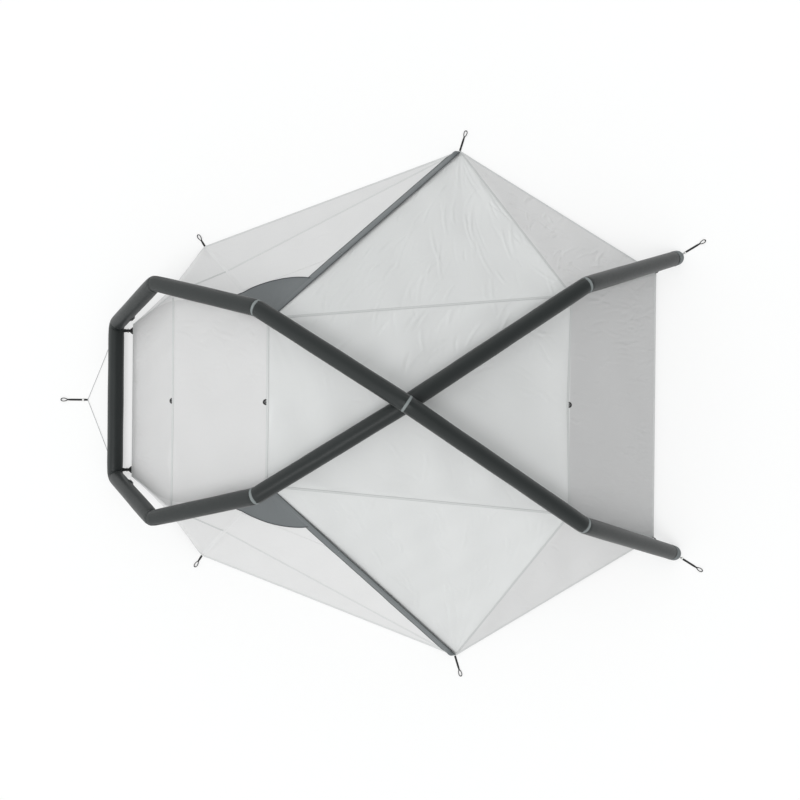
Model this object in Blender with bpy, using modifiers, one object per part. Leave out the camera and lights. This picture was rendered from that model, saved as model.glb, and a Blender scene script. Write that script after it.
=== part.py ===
"""Inflatable tent for two people.

One air filled beam runs from foot to foot and crosses itself over the middle. A fly with two side
doors hangs under it, and an inner tent with its own doors stands on a groundsheet below the fly.
The origin is the middle of the groundsheet's underside, +X points to the wide head end, +Y to the
left side and +Z up. All lengths are metres.
"""

import math

import bmesh
import bpy
from mathutils import Matrix, Vector
from mathutils.bvhtree import BVHTree

UP = Vector((0.0, 0.0, 1.0))
LEFT = 1
RIGHT = -1
SIDE_NAMES = {LEFT: "left", RIGHT: "right"}

# Fits
SEAT_GAP = 0.0003
CUT_OVERRUN = 0.004
MERGE_DISTANCE = 0.00001
SMOOTH_ANGLE = math.radians(35.0)

# Air beam
TUBE_RADIUS = 0.042
SLEEVE_WALL = 0.0008
BLADDER_WALL = 0.0006
TUBE_SIDES = 24
BLADDER_RESOLUTION = 4
BAR_X = -1.677
BAR_HALF_WIDTH = 0.447
ELBOW_PLACE = (-1.303, 0.621, 0.52)
SHOULDER_PLACE = (-0.694, 0.454, 0.88)
CROSSING_X = 0.031
CROSSING_HEIGHT = 1.068
KNEE_PLACE = (0.920, 0.597, 0.76)
FOOT_X = 1.628
FOOT_HALF_WIDTH = 0.857

# Seam bands and foot caps
BAND_WIDTH = 0.012
BAND_THICKNESS = 0.0012
CROSSING_CLEARANCE = 0.0003
FOOT_CAP_WALL = 0.0015
FOOT_CAP_LENGTH = 0.040
FOOT_CAP_ARC_STEPS = 6

# Valves
VALVE_PLACE_SHARE = 0.29
VALVE_LEAN_SHARE = 0.50
VALVE_FLANGE_RADIUS = 0.017
VALVE_FLANGE_HEIGHT = 0.004
VALVE_STEM_RADIUS = 0.008
VALVE_STEM_DEPTH = 0.009
VALVE_BORE_RADIUS = 0.0055
VALVE_BORE_DEPTH = 0.0095
VALVE_SIDES = 24
VALVE_CAP_RADIUS = 0.0155
VALVE_CAP_HEIGHT = 0.0045
VALVE_CAP_EDGE = 0.0012

# Fly, left half, as points of its outer face. Its upper points hang from the beam's corners
FABRIC = 0.001
FLY_FOOT_INSET = 0.091
FLY_FOOT_NARROWER = 0.001
FLY_CORNER_HEIGHT = 0.020
FLY_UNDER_ELBOW = (0.068, -0.041, -0.070)
FLY_UNDER_SHOULDER = (0.041, -0.0415, -0.070)
FLY_PEAK_CLEARANCE = 0.0115
FLY_UNDER_KNEE = (-0.054, -0.042, -0.070)
FLY_ROOF_SAG = 0.012
FLY_HEAD_INSET = 0.107
FLY_HEAD_NARROWER = 0.074
FLY_SIDE_X = 0.342
FLY_SIDE_HALF_WIDTH = 1.502
FLY_REAR_X = -1.170
FLY_REAR_HALF_WIDTH = 0.920
FLY_HEM_MIDDLE = (-1.345, 0.629, 0.060)
DOOR_FOLD_SHARE = 0.608
DOOR_TOP_SHARE = 0.34

# Fly doors, zips and storm flaps
DOOR_HINGE_GAP = 0.0005
DOOR_TOP_GAP = 0.004
DOOR_ZIP_GAP = 0.008
ZIP_WIDTH = 0.006
ZIP_THICKNESS = 0.0025
ZIP_EDGE_GAP = 0.0006
ZIP_PROUD = 0.0005
ZIP_END_GAP = 0.012
SLIDER_LENGTH = 0.014
SLIDER_WIDTH = 0.011
SLIDER_HEIGHT = 0.005
SLIDER_REST = 0.045
PULL_TAB_LENGTH = 0.022
PULL_TAB_WIDTH = 0.006
PULL_TAB_THICKNESS = 0.0012
FLAP_START = 0.062
FLAP_ATTACHED = 0.030
FLAP_HEIGHT = 0.0125
FLAP_OVERLAP = 0.012
FLAP_TAPER = 0.006

# Vent hoods
HOOD_REACH = 0.340
HOOD_APEX = 0.035
HOOD_LIFT = 0.024
HOOD_SEAT = 0.0016
HOOD_SPREAD_SHARE = 0.97
HOOD_RISE_POWER = 1.5
HOOD_STEPS = 14
HOOD_ROWS = 5

# Inner tent
GROUNDSHEET_THICKNESS = 0.0012
INNER_FOOT_X = -1.270
INNER_FOOT_HALF_WIDTH = 0.420
INNER_HEAD_X = 1.270
INNER_HEAD_HALF_WIDTH = 0.620
INNER_MARGIN = 0.010
INNER_UNDER_FOOT_SEAM = (0.155, -0.180, -0.030)
INNER_UNDER_SHOULDER = (0.033, -0.0525, -0.070)
INNER_PEAK_DROP = 0.060
INNER_UNDER_KNEE = (-0.066, -0.075, -0.070)
INNER_DOOR_START_SHARE = 0.28
INNER_DOOR_END_SHARE = 0.84
INNER_DOOR_SILL_SHARE = 0.14
INNER_DOOR_TOP_SHARE = 0.78
INNER_DOOR_GAP = 0.003
INNER_DOOR_HINGE_GAP = 0.0005

# Webbing
STRAP_WIDTH = 0.014
STRAP_THICKNESS = 0.002
HANGER_WIDTH = 0.024
CORNER_STRAP_WIDTH = 0.018
FOOT_STRAP_WIDTH = 0.022
FOOT_STRAP_INSET = 0.035
LOOP_LENGTH = 0.042
LOOP_WIDTH = 0.026
LOOP_WALL = 0.002
LOOP_HEIGHT = 0.008
LOOP_SIDES = 16
LOOP_BITE = 0.003
LEAD_RADIUS = 0.0015
LEAD_SIDES = 8
KNOT_RADIUS = 0.003
KNOT_SIDES = 12
KEEPER_LENGTH = 0.009
KEEPER_WIDTH = 0.016
KEEPER_HEIGHT = 0.006

# Peg loops: strap length and the heading of each one seen from above
SIDE_LOOP_STRAP = 0.088
SIDE_LOOP_HEADING = math.radians(73.0)
REAR_LOOP_STRAP = 0.042
REAR_LOOP_HEADING = math.radians(122.0)
FOOT_LOOP_STRAP = 0.105
FOOT_LOOP_LEAD = 0.038
FOOT_LOOP_HEADING = math.radians(31.5)
FOOT_LOOP_HEIGHT = 0.020
TAIL_LOOP_STRAP = 0.121

# Guy line between the foot bar's ends
GUY_RADIUS = 0.0015
GUY_APEX_X = -1.857
GUY_POINTS = 76
GUY_BEVEL_RESOLUTION = 2

# Base colours, roughness and metallic value of each stuff
STUFFS = {
    "beam_cloth": ((0.045, 0.058, 0.056), 0.62, 0.0),
    "bladder_film": ((0.62, 0.66, 0.62), 0.30, 0.0),
    "seam_tape": ((0.30, 0.34, 0.34), 0.55, 0.0),
    "cap_ripstop": ((0.19, 0.22, 0.22), 0.60, 0.0),
    "fly_cloth": ((0.66, 0.67, 0.66), 0.55, 0.0),
    "dark_trim": ((0.075, 0.085, 0.085), 0.60, 0.0),
    "inner_mesh": ((0.72, 0.73, 0.70), 0.70, 0.0),
    "floor_cloth": ((0.10, 0.11, 0.12), 0.50, 0.0),
    "webbing": ((0.012, 0.012, 0.013), 0.75, 0.0),
    "black_plastic": ((0.015, 0.015, 0.016), 0.40, 0.0),
    "zip_coil": ((0.03, 0.03, 0.032), 0.50, 0.0),
    "zip_metal": ((0.45, 0.46, 0.47), 0.35, 0.9),
    "guy_cord": ((0.55, 0.58, 0.58), 0.80, 0.0),
}


def clear_scene():
    for old in list(bpy.data.objects):
        bpy.data.objects.remove(old)


def make_collection(name):
    collection = bpy.data.collections.new(name)
    bpy.context.scene.collection.children.link(collection)
    return collection


def finish_stuff(name, stuff):
    """Give each object its own Principled material in the colour of its stuff."""
    colour, roughness, metallic = STUFFS[stuff]
    material = bpy.data.materials.new(name + "_" + stuff)
    material.use_nodes = True
    shader = material.node_tree.nodes["Principled BSDF"]
    shader.inputs["Base Color"].default_value = (*colour, 1.0)
    shader.inputs["Roughness"].default_value = roughness
    shader.inputs["Metallic"].default_value = metallic
    material.diffuse_color = (*colour, 1.0)
    return material


def add_object(name, data, stuff, smooth=False):
    piece = bpy.data.objects.new(name, data)
    data.materials.clear()
    data.materials.append(finish_stuff(name, stuff))
    TENT.objects.link(piece)
    if smooth:
        data.shade_smooth()
        data.set_sharp_from_angle(angle=SMOOTH_ANGLE)
    return piece


def add_bmesh(name, mesh_maker, stuff, smooth=False):
    mesh = bpy.data.meshes.new(name)
    mesh_maker.to_mesh(mesh)
    mesh_maker.free()
    return add_object(name, mesh, stuff, smooth)


def add_cutter(name, mesh_maker):
    mesh = bpy.data.meshes.new(name)
    mesh_maker.to_mesh(mesh)
    mesh_maker.free()
    cutter = bpy.data.objects.new(name, mesh)
    CUTTERS.objects.link(cutter)
    cutter.hide_render = True
    cutter.display_type = "WIRE"
    return cutter


def cut(piece, cutter, operation="DIFFERENCE"):
    boolean = piece.modifiers.new(operation.lower() + "_" + cutter.name, "BOOLEAN")
    boolean.operation = operation
    boolean.solver = "EXACT"
    boolean.object = cutter


def thicken(piece, thickness):
    shell = piece.modifiers.new("wall", "SOLIDIFY")
    shell.thickness = thickness
    shell.offset = -1.0
    shell.use_even_offset = True


def mirror_over_length(piece):
    mirror = piece.modifiers.new("other_half", "MIRROR")
    mirror.use_axis = (False, True, False)
    mirror.merge_threshold = MERGE_DISTANCE


def mesh_of(piece):
    """The evaluated mesh of a piece as a new mesh, with a curve's caps welded on."""
    graph = bpy.context.evaluated_depsgraph_get()
    mesh = bpy.data.meshes.new_from_object(piece.evaluated_get(graph))
    welded = bmesh.new()
    welded.from_mesh(mesh)
    bmesh.ops.remove_doubles(welded, verts=welded.verts, dist=MERGE_DISTANCE)
    welded.to_mesh(mesh)
    welded.free()
    return mesh


def set_origin(piece, point):
    """Put a moving piece's origin on its joint's axis, with the piece left where it is."""
    piece.data.transform(Matrix.Translation(piece.location - point))
    piece.location = point


def frame_matrix(origin, x_axis, z_hint):
    """A right handed frame with its X along x_axis and its Z as near z_hint as it can be."""
    x_axis = x_axis.normalized()
    y_axis = z_hint.cross(x_axis).normalized()
    z_axis = x_axis.cross(y_axis)
    rotation = Matrix((x_axis, y_axis, z_axis)).transposed().to_4x4()
    return Matrix.Translation(origin) @ rotation


def box_between(maker, low, high, place=None):
    """Add a box from its low corner to its high corner, in the frame of place."""
    size = high - low
    fit = Matrix.Translation((low + high) / 2.0) @ Matrix.Diagonal((*size, 1.0))
    if place is not None:
        fit = place @ fit
    return bmesh.ops.create_cube(maker, size=1.0, matrix=fit)


def flip_side(point, side):
    return Vector((point.x, point.y * side, point.z))


def clear_radius(radius, sides):
    """A faceted bore whose flats clear a round piece of this radius by the seat gap."""
    return (radius + SEAT_GAP) / math.cos(math.pi / sides)


# The beam's centre line: foot, knee, crossing, shoulder, elbow and bar corner, then the same back
WRAP_RADIUS = clear_radius(TUBE_RADIUS, TUBE_SIDES)
FOOT_RADIUS = WRAP_RADIUS + FOOT_CAP_WALL
FOOT = Vector((FOOT_X, FOOT_HALF_WIDTH, FOOT_RADIUS))
ELBOW = Vector(ELBOW_PLACE)
SHOULDER = Vector(SHOULDER_PLACE)
KNEE = Vector(KNEE_PLACE)
BAR_END = Vector((BAR_X, BAR_HALF_WIDTH, TUBE_RADIUS))
CROSSING_UPPER = Vector((CROSSING_X, 0.0, CROSSING_HEIGHT))


def crossing_drop():
    """How far the lower beam's centre lies under the upper one, so that the band fits between."""
    up = (CROSSING_UPPER - SHOULDER).normalized()
    down = (flip_side(KNEE, RIGHT) - CROSSING_UPPER).normalized()
    ridge = 1.0 / math.cos(up.angle(down) / 2.0)
    band = WRAP_RADIUS - TUBE_RADIUS + BAND_THICKNESS
    return (2.0 * TUBE_RADIUS + band) * ridge + CROSSING_CLEARANCE


CROSSING_LOWER = CROSSING_UPPER - UP * crossing_drop()

BEAM_LINE = [
    flip_side(FOOT, LEFT),
    flip_side(KNEE, LEFT),
    CROSSING_LOWER,
    flip_side(SHOULDER, RIGHT),
    flip_side(ELBOW, RIGHT),
    flip_side(BAR_END, RIGHT),
    flip_side(BAR_END, LEFT),
    flip_side(ELBOW, LEFT),
    flip_side(SHOULDER, LEFT),
    CROSSING_UPPER,
    flip_side(KNEE, RIGHT),
    flip_side(FOOT, RIGHT),
]
SLEEVE_NAMES = [
    "head_leg_sleeve_left",
    "head_beam_sleeve_left",
    "shoulder_beam_sleeve_right",
    "foot_beam_sleeve_right",
    "foot_leg_sleeve_right",
    "foot_bar_sleeve",
    "foot_leg_sleeve_left",
    "foot_beam_sleeve_left",
    "shoulder_beam_sleeve_left",
    "head_beam_sleeve_right",
    "head_leg_sleeve_right",
]
BAND_JOINTS = {
    "knee_band_left": 1,
    "shoulder_band_right": 3,
    "shoulder_band_left": 8,
    "crossing_band": 9,
    "knee_band_right": 10,
}


def beam_direction(index):
    """Direction of the beam's segment that starts at a corner of its centre line."""
    return (BEAM_LINE[index + 1] - BEAM_LINE[index]).normalized()


def mitre_normal(index):
    """Normal of the plane in which two segments meet, or of the square cut at a free end."""
    if index == 0:
        return beam_direction(0)
    if index == len(BEAM_LINE) - 1:
        return beam_direction(index - 1)
    return (beam_direction(index - 1) + beam_direction(index)).normalized()


def slide_to_plane(verts, direction, plane_point, normal):
    """Slide points along a direction until they lie in a plane."""
    for vert in verts:
        step = (plane_point - vert.co).dot(normal) / direction.dot(normal)
        vert.co += direction * step


def mitred_skin(maker, start, end, start_normal, end_normal, radius):
    """An open tube whose ends are cut by two planes. Gives its low and its high rim's points."""
    direction = (end - start).normalized()
    place = frame_matrix((start + end) / 2.0, UP.cross(direction), direction)
    made = bmesh.ops.create_cone(
        maker,
        cap_ends=False,
        segments=TUBE_SIDES,
        radius1=radius,
        radius2=radius,
        depth=(end - start).length,
        matrix=place,
    )
    middle = (start + end) / 2.0
    low = [vert for vert in made["verts"] if (vert.co - middle).dot(direction) < 0.0]
    high = [vert for vert in made["verts"] if (vert.co - middle).dot(direction) > 0.0]
    slide_to_plane(low, direction, start, start_normal)
    slide_to_plane(high, direction, end, end_normal)
    return low, high


def bridge_alike(maker, ring, other):
    """Join two rings whose points run in the same order by a strip of faces."""
    partner = dict(zip(ring, other))
    edges = {edge for vert in ring for edge in vert.link_edges}
    for edge in sorted(edges, key=lambda edge: edge.verts[0].co.x):
        first, second = edge.verts
        if first in partner and second in partner:
            maker.faces.new((first, second, partner[second], partner[first]))


def build_sleeve(index):
    """One straight cloth sleeve, hollow, with a mitred end where the next sleeve is sewn on."""
    direction = beam_direction(index)
    start_normal = mitre_normal(index)
    end_normal = mitre_normal(index + 1)
    start = BEAM_LINE[index] + direction * SEAT_GAP / 2.0 / direction.dot(start_normal)
    end = BEAM_LINE[index + 1] - direction * SEAT_GAP / 2.0 / direction.dot(end_normal)
    maker = bmesh.new()
    outer = mitred_skin(maker, start, end, start_normal, end_normal, TUBE_RADIUS)
    inner = mitred_skin(maker, start, end, start_normal, end_normal, TUBE_RADIUS - SLEEVE_WALL)
    for outer_rim, inner_rim in zip(outer, inner):
        bridge_alike(maker, outer_rim, inner_rim)
    bmesh.ops.recalc_face_normals(maker, faces=maker.faces)
    return add_bmesh(SLEEVE_NAMES[index], maker, "beam_cloth", smooth=True)


def build_band(name, joint):
    """Seam tape round a mitre, with both its edges parallel to the mitre plane."""
    corner = BEAM_LINE[joint]
    normal = mitre_normal(joint)
    before = beam_direction(joint - 1)
    after = beam_direction(joint)
    lead = frame_matrix(corner, UP.cross(before), before)
    maker = bmesh.new()
    skins = []
    for radius in (WRAP_RADIUS, WRAP_RADIUS + BAND_THICKNESS):
        rings = []
        for reach, along in ((-BAND_WIDTH / 2.0, before), (0.0, before), (BAND_WIDTH / 2.0, after)):
            ring = bmesh.ops.create_circle(
                maker, cap_ends=False, segments=TUBE_SIDES, radius=radius, matrix=lead
            )
            slide_to_plane(ring["verts"], before, corner, normal)
            for vert in ring["verts"]:
                vert.co += along * reach / along.dot(normal)
            rings.append(ring["verts"])
        bridge_alike(maker, rings[0], rings[1])
        bridge_alike(maker, rings[2], rings[1])
        skins.append(rings)
    bridge_alike(maker, skins[0][0], skins[1][0])
    bridge_alike(maker, skins[0][2], skins[1][2])
    bmesh.ops.recalc_face_normals(maker, faces=maker.faces)
    return add_bmesh(name, maker, "seam_tape", smooth=True)


def turned(name, profile, place, stuff, sides):
    """A turned piece. The profile runs down its outer side as radius and height pairs."""
    maker = bmesh.new()
    verts = [maker.verts.new((radius, 0.0, height)) for radius, height in profile]
    for first, second in zip(verts, verts[1:] + verts[:1]):
        if first.co.x > 0.0 or second.co.x > 0.0:
            maker.edges.new((first, second))
    piece = add_bmesh(name, maker, stuff)
    piece.matrix_world = place
    screw = piece.modifiers.new("turn", "SCREW")
    screw.steps = sides
    screw.render_steps = sides
    screw.use_merge_vertices = True
    screw.merge_threshold = MERGE_DISTANCE
    screw.use_smooth_shade = False
    return piece


def build_foot_cap(side):
    """A cup of ripstop cloth over the rounded end of a head leg, which rests on the ground."""
    foot = flip_side(FOOT, side)
    up_leg = (flip_side(KNEE, side) - foot).normalized()
    place = frame_matrix(foot, UP.cross(up_leg), up_leg)
    outer = FOOT_RADIUS
    inner = WRAP_RADIUS
    angles = [math.pi / 2.0 * step / FOOT_CAP_ARC_STEPS for step in range(FOOT_CAP_ARC_STEPS + 1)]
    profile = [(outer, FOOT_CAP_LENGTH)]
    profile += [(outer * math.cos(angle), -outer * math.sin(angle)) for angle in angles[:-1]]
    profile += [(0.0, -outer), (0.0, -inner)]
    profile += [(inner * math.cos(angle), -inner * math.sin(angle)) for angle in angles[-2::-1]]
    profile += [(inner, FOOT_CAP_LENGTH)]
    return turned("foot_cap_" + SIDE_NAMES[side], profile, place, "cap_ripstop", TUBE_SIDES)


def valve_frame(side):
    """Where a valve sits on its foot leg: Z points out of the beam and X up the leg."""
    bar_end = flip_side(BAR_END, side)
    up_leg = (flip_side(ELBOW, side) - bar_end).normalized()
    level = (up_leg.cross(UP) * side).normalized()
    under = level.cross(up_leg).normalized()
    if under.z > 0.0:
        under = -under
    out = (level + under * VALVE_LEAN_SHARE).normalized()
    seat = bar_end.lerp(flip_side(ELBOW, side), VALVE_PLACE_SHARE)
    return frame_matrix(seat, up_leg, out)


def build_valve(side):
    """An inflation valve through the sleeve of a foot leg, with a hinged cap."""
    place = valve_frame(side)
    seat = TUBE_RADIUS + SEAT_GAP
    top = seat + VALVE_FLANGE_HEIGHT
    bottom = seat - VALVE_STEM_DEPTH
    body_profile = [
        (VALVE_BORE_RADIUS, top),
        (VALVE_FLANGE_RADIUS - VALVE_CAP_EDGE, top),
        (VALVE_FLANGE_RADIUS, top - VALVE_CAP_EDGE),
        (VALVE_FLANGE_RADIUS, seat),
        (VALVE_STEM_RADIUS, seat),
        (VALVE_STEM_RADIUS, bottom),
        (0.0, bottom),
        (0.0, top - VALVE_BORE_DEPTH),
        (VALVE_BORE_RADIUS, top - VALVE_BORE_DEPTH),
    ]
    name = SIDE_NAMES[side]
    turned("valve_body_" + name, body_profile, place, "black_plastic", VALVE_SIDES)
    low = top + SEAT_GAP
    high = low + VALVE_CAP_HEIGHT
    cap_profile = [
        (0.0, high),
        (VALVE_CAP_RADIUS - VALVE_CAP_EDGE, high),
        (VALVE_CAP_RADIUS, high - VALVE_CAP_EDGE),
        (VALVE_CAP_RADIUS, low),
        (0.0, low),
    ]
    cap = turned("valve_cap_" + name, cap_profile, place, "black_plastic", VALVE_SIDES)
    cap.data = mesh_of(cap)
    cap.modifiers.clear()
    hinge = Vector((VALVE_CAP_RADIUS, 0.0, low))
    cap.data.transform(Matrix.Translation(-hinge))
    cap.matrix_world = place @ Matrix.Translation(hinge)


def valve_port(side, maker, radius, deep):
    """A cylinder along a valve's axis that opens the wall under its stem."""
    place = valve_frame(side)
    reach = TUBE_RADIUS + CUT_OVERRUN - deep
    middle = Matrix.Translation(UP * (deep + reach / 2.0))
    bmesh.ops.create_cone(
        maker,
        cap_ends=True,
        segments=VALVE_SIDES,
        radius1=radius,
        radius2=radius,
        depth=reach,
        matrix=place @ middle,
    )


def build_bladder(side):
    """The air chamber inside half of the beam, from a foot to the middle of the foot bar."""
    half = len(BEAM_LINE) // 2
    points = BEAM_LINE[:half] if side == LEFT else BEAM_LINE[:half - 1:-1]
    last = points[-1]
    end = Vector((last.x, 0.0, last.z)) + Vector((0.0, last.y, 0.0)).normalized() * SEAT_GAP
    points = points + [end]
    route = bpy.data.curves.new("bladder_route", "CURVE")
    route.dimensions = "3D"
    route.bevel_depth = bladder_radius()
    route.bevel_resolution = BLADDER_RESOLUTION
    route.use_fill_caps = True
    spline = route.splines.new("POLY")
    spline.points.add(len(points) - 1)
    for spot, point in zip(spline.points, points):
        spot.co = (*point, 1.0)
    guide = bpy.data.objects.new("bladder_guide", route)
    CUTTERS.objects.link(guide)
    mesh = mesh_of(guide)
    bpy.data.objects.remove(guide)
    # Left foot to bar passes the right foot leg, where this chamber has its valve
    valve_side = RIGHT if side == LEFT else LEFT
    name = SIDE_NAMES[valve_side]
    bladder = add_object("bladder_" + name, mesh, "bladder_film", smooth=True)
    thicken(bladder, BLADDER_WALL)
    bladder.modifiers["wall"].use_even_offset = False
    maker = bmesh.new()
    valve_port(valve_side, maker, clear_radius(VALVE_STEM_RADIUS, VALVE_SIDES), TUBE_RADIUS / 2.0)
    cut(bladder, add_cutter("bladder_port_" + name, maker))


def bladder_radius():
    """Largest chamber that clears the flats inside a faceted sleeve."""
    return (TUBE_RADIUS - SLEEVE_WALL) * math.cos(math.pi / TUBE_SIDES) - SEAT_GAP


def build_beam():
    sleeves = [build_sleeve(index) for index in range(len(SLEEVE_NAMES))]
    for name, joint in BAND_JOINTS.items():
        build_band(name, joint)
    for side in (LEFT, RIGHT):
        build_foot_cap(side)
        build_valve(side)
        build_bladder(side)
        leg = bpy.data.objects["foot_leg_sleeve_" + SIDE_NAMES[side]]
        maker = bmesh.new()
        valve_port(side, maker, clear_radius(VALVE_STEM_RADIUS, VALVE_SIDES), TUBE_RADIUS / 2.0)
        cut(leg, add_cutter("sleeve_port_" + SIDE_NAMES[side], maker))
    return sleeves


def cloth(name, points, panels, stuff, mirrored=False):
    """A sewn sheet: named points joined by panels, facing outwards, with its thickness inside."""
    maker = bmesh.new()
    verts = {key: maker.verts.new(point) for key, point in points.items()}
    for panel in panels:
        maker.faces.new([verts[key] for key in panel])
    bmesh.ops.recalc_face_normals(maker, faces=maker.faces)
    if sum(face.normal.z * face.calc_area() for face in maker.faces) < 0.0:
        bmesh.ops.reverse_faces(maker, faces=maker.faces)
    piece = add_bmesh(name, maker, stuff)
    if mirrored:
        mirror_over_length(piece)
    thicken(piece, FABRIC)
    return piece


def inset_corner(corner, toward_a, toward_b, from_a, from_b):
    """A corner pulled in by one distance from each of its two edges."""
    along_a = (toward_a - corner).normalized()
    along_b = (toward_b - corner).normalized()
    sine = along_a.cross(along_b).length
    return corner + along_a * from_b / sine + along_b * from_a / sine


# Fly points shared by its canopy, doors, zips, flaps and hoods
HEM_CORNER_HEIGHT = STRAP_THICKNESS + SEAT_GAP
FLY_FOOT_X = BAR_X + FLY_FOOT_INSET
FLY_FOOT_HALF_WIDTH = BAR_HALF_WIDTH - FLY_FOOT_NARROWER
FLY_FOOT_SEAM = ELBOW + Vector(FLY_UNDER_ELBOW)
FLY_SHOULDER = SHOULDER + Vector(FLY_UNDER_SHOULDER)
FLY_PEAK_HEIGHT = CROSSING_LOWER.z - TUBE_RADIUS - FLY_PEAK_CLEARANCE
FLY_KNEE = KNEE + Vector(FLY_UNDER_KNEE)
FLY_HEAD_X = FOOT_X - FLY_HEAD_INSET
FLY_HEAD_HALF_WIDTH = FOOT_HALF_WIDTH - FLY_HEAD_NARROWER
FLY = {
    "foot_corner": Vector((FLY_FOOT_X, FLY_FOOT_HALF_WIDTH, FLY_CORNER_HEIGHT)),
    "foot_middle": Vector((FLY_FOOT_X, 0.0, FLY_CORNER_HEIGHT)),
    "foot_seam": FLY_FOOT_SEAM,
    "foot_seam_middle": Vector((FLY_FOOT_SEAM.x, 0.0, FLY_FOOT_SEAM.z - FLY_ROOF_SAG)),
    "shoulder": FLY_SHOULDER,
    "shoulder_middle": Vector((FLY_SHOULDER.x, 0.0, FLY_SHOULDER.z - FLY_ROOF_SAG)),
    "peak": Vector((CROSSING_X, 0.0, FLY_PEAK_HEIGHT)),
    "knee": FLY_KNEE,
    "knee_middle": Vector((FLY_KNEE.x, 0.0, FLY_KNEE.z - FLY_ROOF_SAG)),
    "head_corner": Vector((FLY_HEAD_X, FLY_HEAD_HALF_WIDTH, FLY_CORNER_HEIGHT)),
    "head_middle": Vector((FLY_HEAD_X, 0.0, FLY_CORNER_HEIGHT)),
    "side": Vector((FLY_SIDE_X, FLY_SIDE_HALF_WIDTH, HEM_CORNER_HEIGHT)),
    "rear": Vector((FLY_REAR_X, FLY_REAR_HALF_WIDTH, HEM_CORNER_HEIGHT)),
    "hem_middle": Vector(FLY_HEM_MIDDLE),
}
FLY["fold"] = FLY["shoulder"].lerp(FLY["rear"], DOOR_FOLD_SHARE)
FLY["hinge_top"] = FLY["shoulder"].lerp(FLY["rear"], DOOR_TOP_SHARE)
FLY["zip_top"] = FLY["shoulder"].lerp(FLY["side"], DOOR_TOP_SHARE)
FLY_PANELS = [
    ("foot_middle", "foot_seam_middle", "foot_seam", "foot_corner"),
    ("foot_seam_middle", "shoulder_middle", "shoulder", "foot_seam"),
    ("shoulder_middle", "peak", "shoulder"),
    ("shoulder", "peak", "knee"),
    ("peak", "knee_middle", "knee"),
    ("knee_middle", "head_middle", "head_corner", "knee"),
    ("knee", "head_corner", "side"),
    ("shoulder", "knee", "side", "zip_top"),
    ("shoulder", "zip_top", "hinge_top"),
    ("shoulder", "hinge_top", "fold", "foot_seam"),
    ("fold", "rear", "foot_seam"),
    ("rear", "hem_middle", "foot_seam"),
    ("hem_middle", "foot_corner", "foot_seam"),
]


def zip_frame(side):
    """Axes on the zip line from the side hem corner: X up the zip, Y over the door, Z outwards."""
    low = FLY["side"]
    up_zip = (FLY["shoulder"] - low).normalized()
    over_door = FLY["fold"] - low
    over_door = (over_door - up_zip * over_door.dot(up_zip)).normalized()
    out = up_zip.cross(over_door)
    if out.z < 0.0:
        out = -out
    axes = Matrix((up_zip, over_door, out)).transposed().to_4x4()
    mirror = Matrix.Diagonal((1.0, float(side), 1.0, 1.0))
    return mirror @ Matrix.Translation(low) @ axes


def zip_point(side, along, across, out):
    """A point near the zip line, with across measured from the canopy's edge to the door."""
    return zip_frame(side) @ Vector((along, across, out))


def strip(name, side, sections, stuff, thickness):
    """A cloth strip along the zip: sections of across and height pairs at stations along it."""
    maker = bmesh.new()
    rows = []
    for along, profile in sections:
        rows.append([maker.verts.new(zip_point(side, along, *pair)) for pair in profile])
    for low_row, high_row in zip(rows, rows[1:]):
        for spot in range(len(low_row) - 1):
            maker.faces.new((low_row[spot], low_row[spot + 1], high_row[spot + 1], high_row[spot]))
    bmesh.ops.recalc_face_normals(maker, faces=maker.faces)
    if sum(face.normal.z * face.calc_area() for face in maker.faces) < 0.0:
        bmesh.ops.reverse_faces(maker, faces=maker.faces)
    piece = add_bmesh(name, maker, stuff)
    shell = piece.modifiers.new("wall", "SOLIDIFY")
    shell.thickness = thickness
    shell.offset = 1.0
    shell.use_even_offset = True
    return piece


def zip_length():
    return (FLY["zip_top"] - FLY["side"]).length


def build_fly_door(side):
    """A side door of the fly, hinged where it is rolled back, with its storm flap and zip."""
    name = SIDE_NAMES[side]
    top = FLY["zip_top"]
    low = FLY["side"]
    hinge_top = FLY["hinge_top"]
    rear = FLY["rear"]
    toward_side = (low - FLY["fold"]).normalized()
    slant = toward_side.cross((rear - hinge_top).normalized()).length
    points = {
        "zip_top": inset_corner(top, low, hinge_top, DOOR_ZIP_GAP, DOOR_TOP_GAP),
        "hinge_top": inset_corner(hinge_top, top, rear, DOOR_TOP_GAP, DOOR_HINGE_GAP),
        "fold": FLY["fold"] + toward_side * DOOR_HINGE_GAP / slant,
        "rear": inset_corner(rear, hinge_top, low, DOOR_HINGE_GAP, 0.0),
        "side": inset_corner(low, top, rear, DOOR_ZIP_GAP, 0.0),
    }
    points = {key: flip_side(point, side) for key, point in points.items()}
    panels = [("side", "zip_top", "hinge_top", "fold"), ("side", "fold", "rear")]
    door = cloth("fly_door_" + name, points, panels, "fly_cloth")
    set_origin(door, flip_side(FLY["shoulder"], side))
    build_zip(side)
    build_storm_flap(side)


def build_storm_flap(side):
    """A cover strip sewn to the door that slants up over the zip, clear of the slider."""
    full = [(FLAP_ATTACHED, SEAT_GAP), (-FLAP_OVERLAP, FLAP_HEIGHT)]
    tapered = [(FLAP_ATTACHED - FLAP_TAPER, SEAT_GAP), (FLAP_TAPER - FLAP_OVERLAP, FLAP_HEIGHT)]
    sections = [
        (FLAP_START, tapered),
        (2.0 * FLAP_START, full),
        (zip_length() - DOOR_TOP_GAP, full),
    ]
    flap = strip("storm_flap_" + SIDE_NAMES[side], side, sections, "dark_trim", FABRIC)
    set_origin(flap, flip_side(FLY["shoulder"], side))


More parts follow.
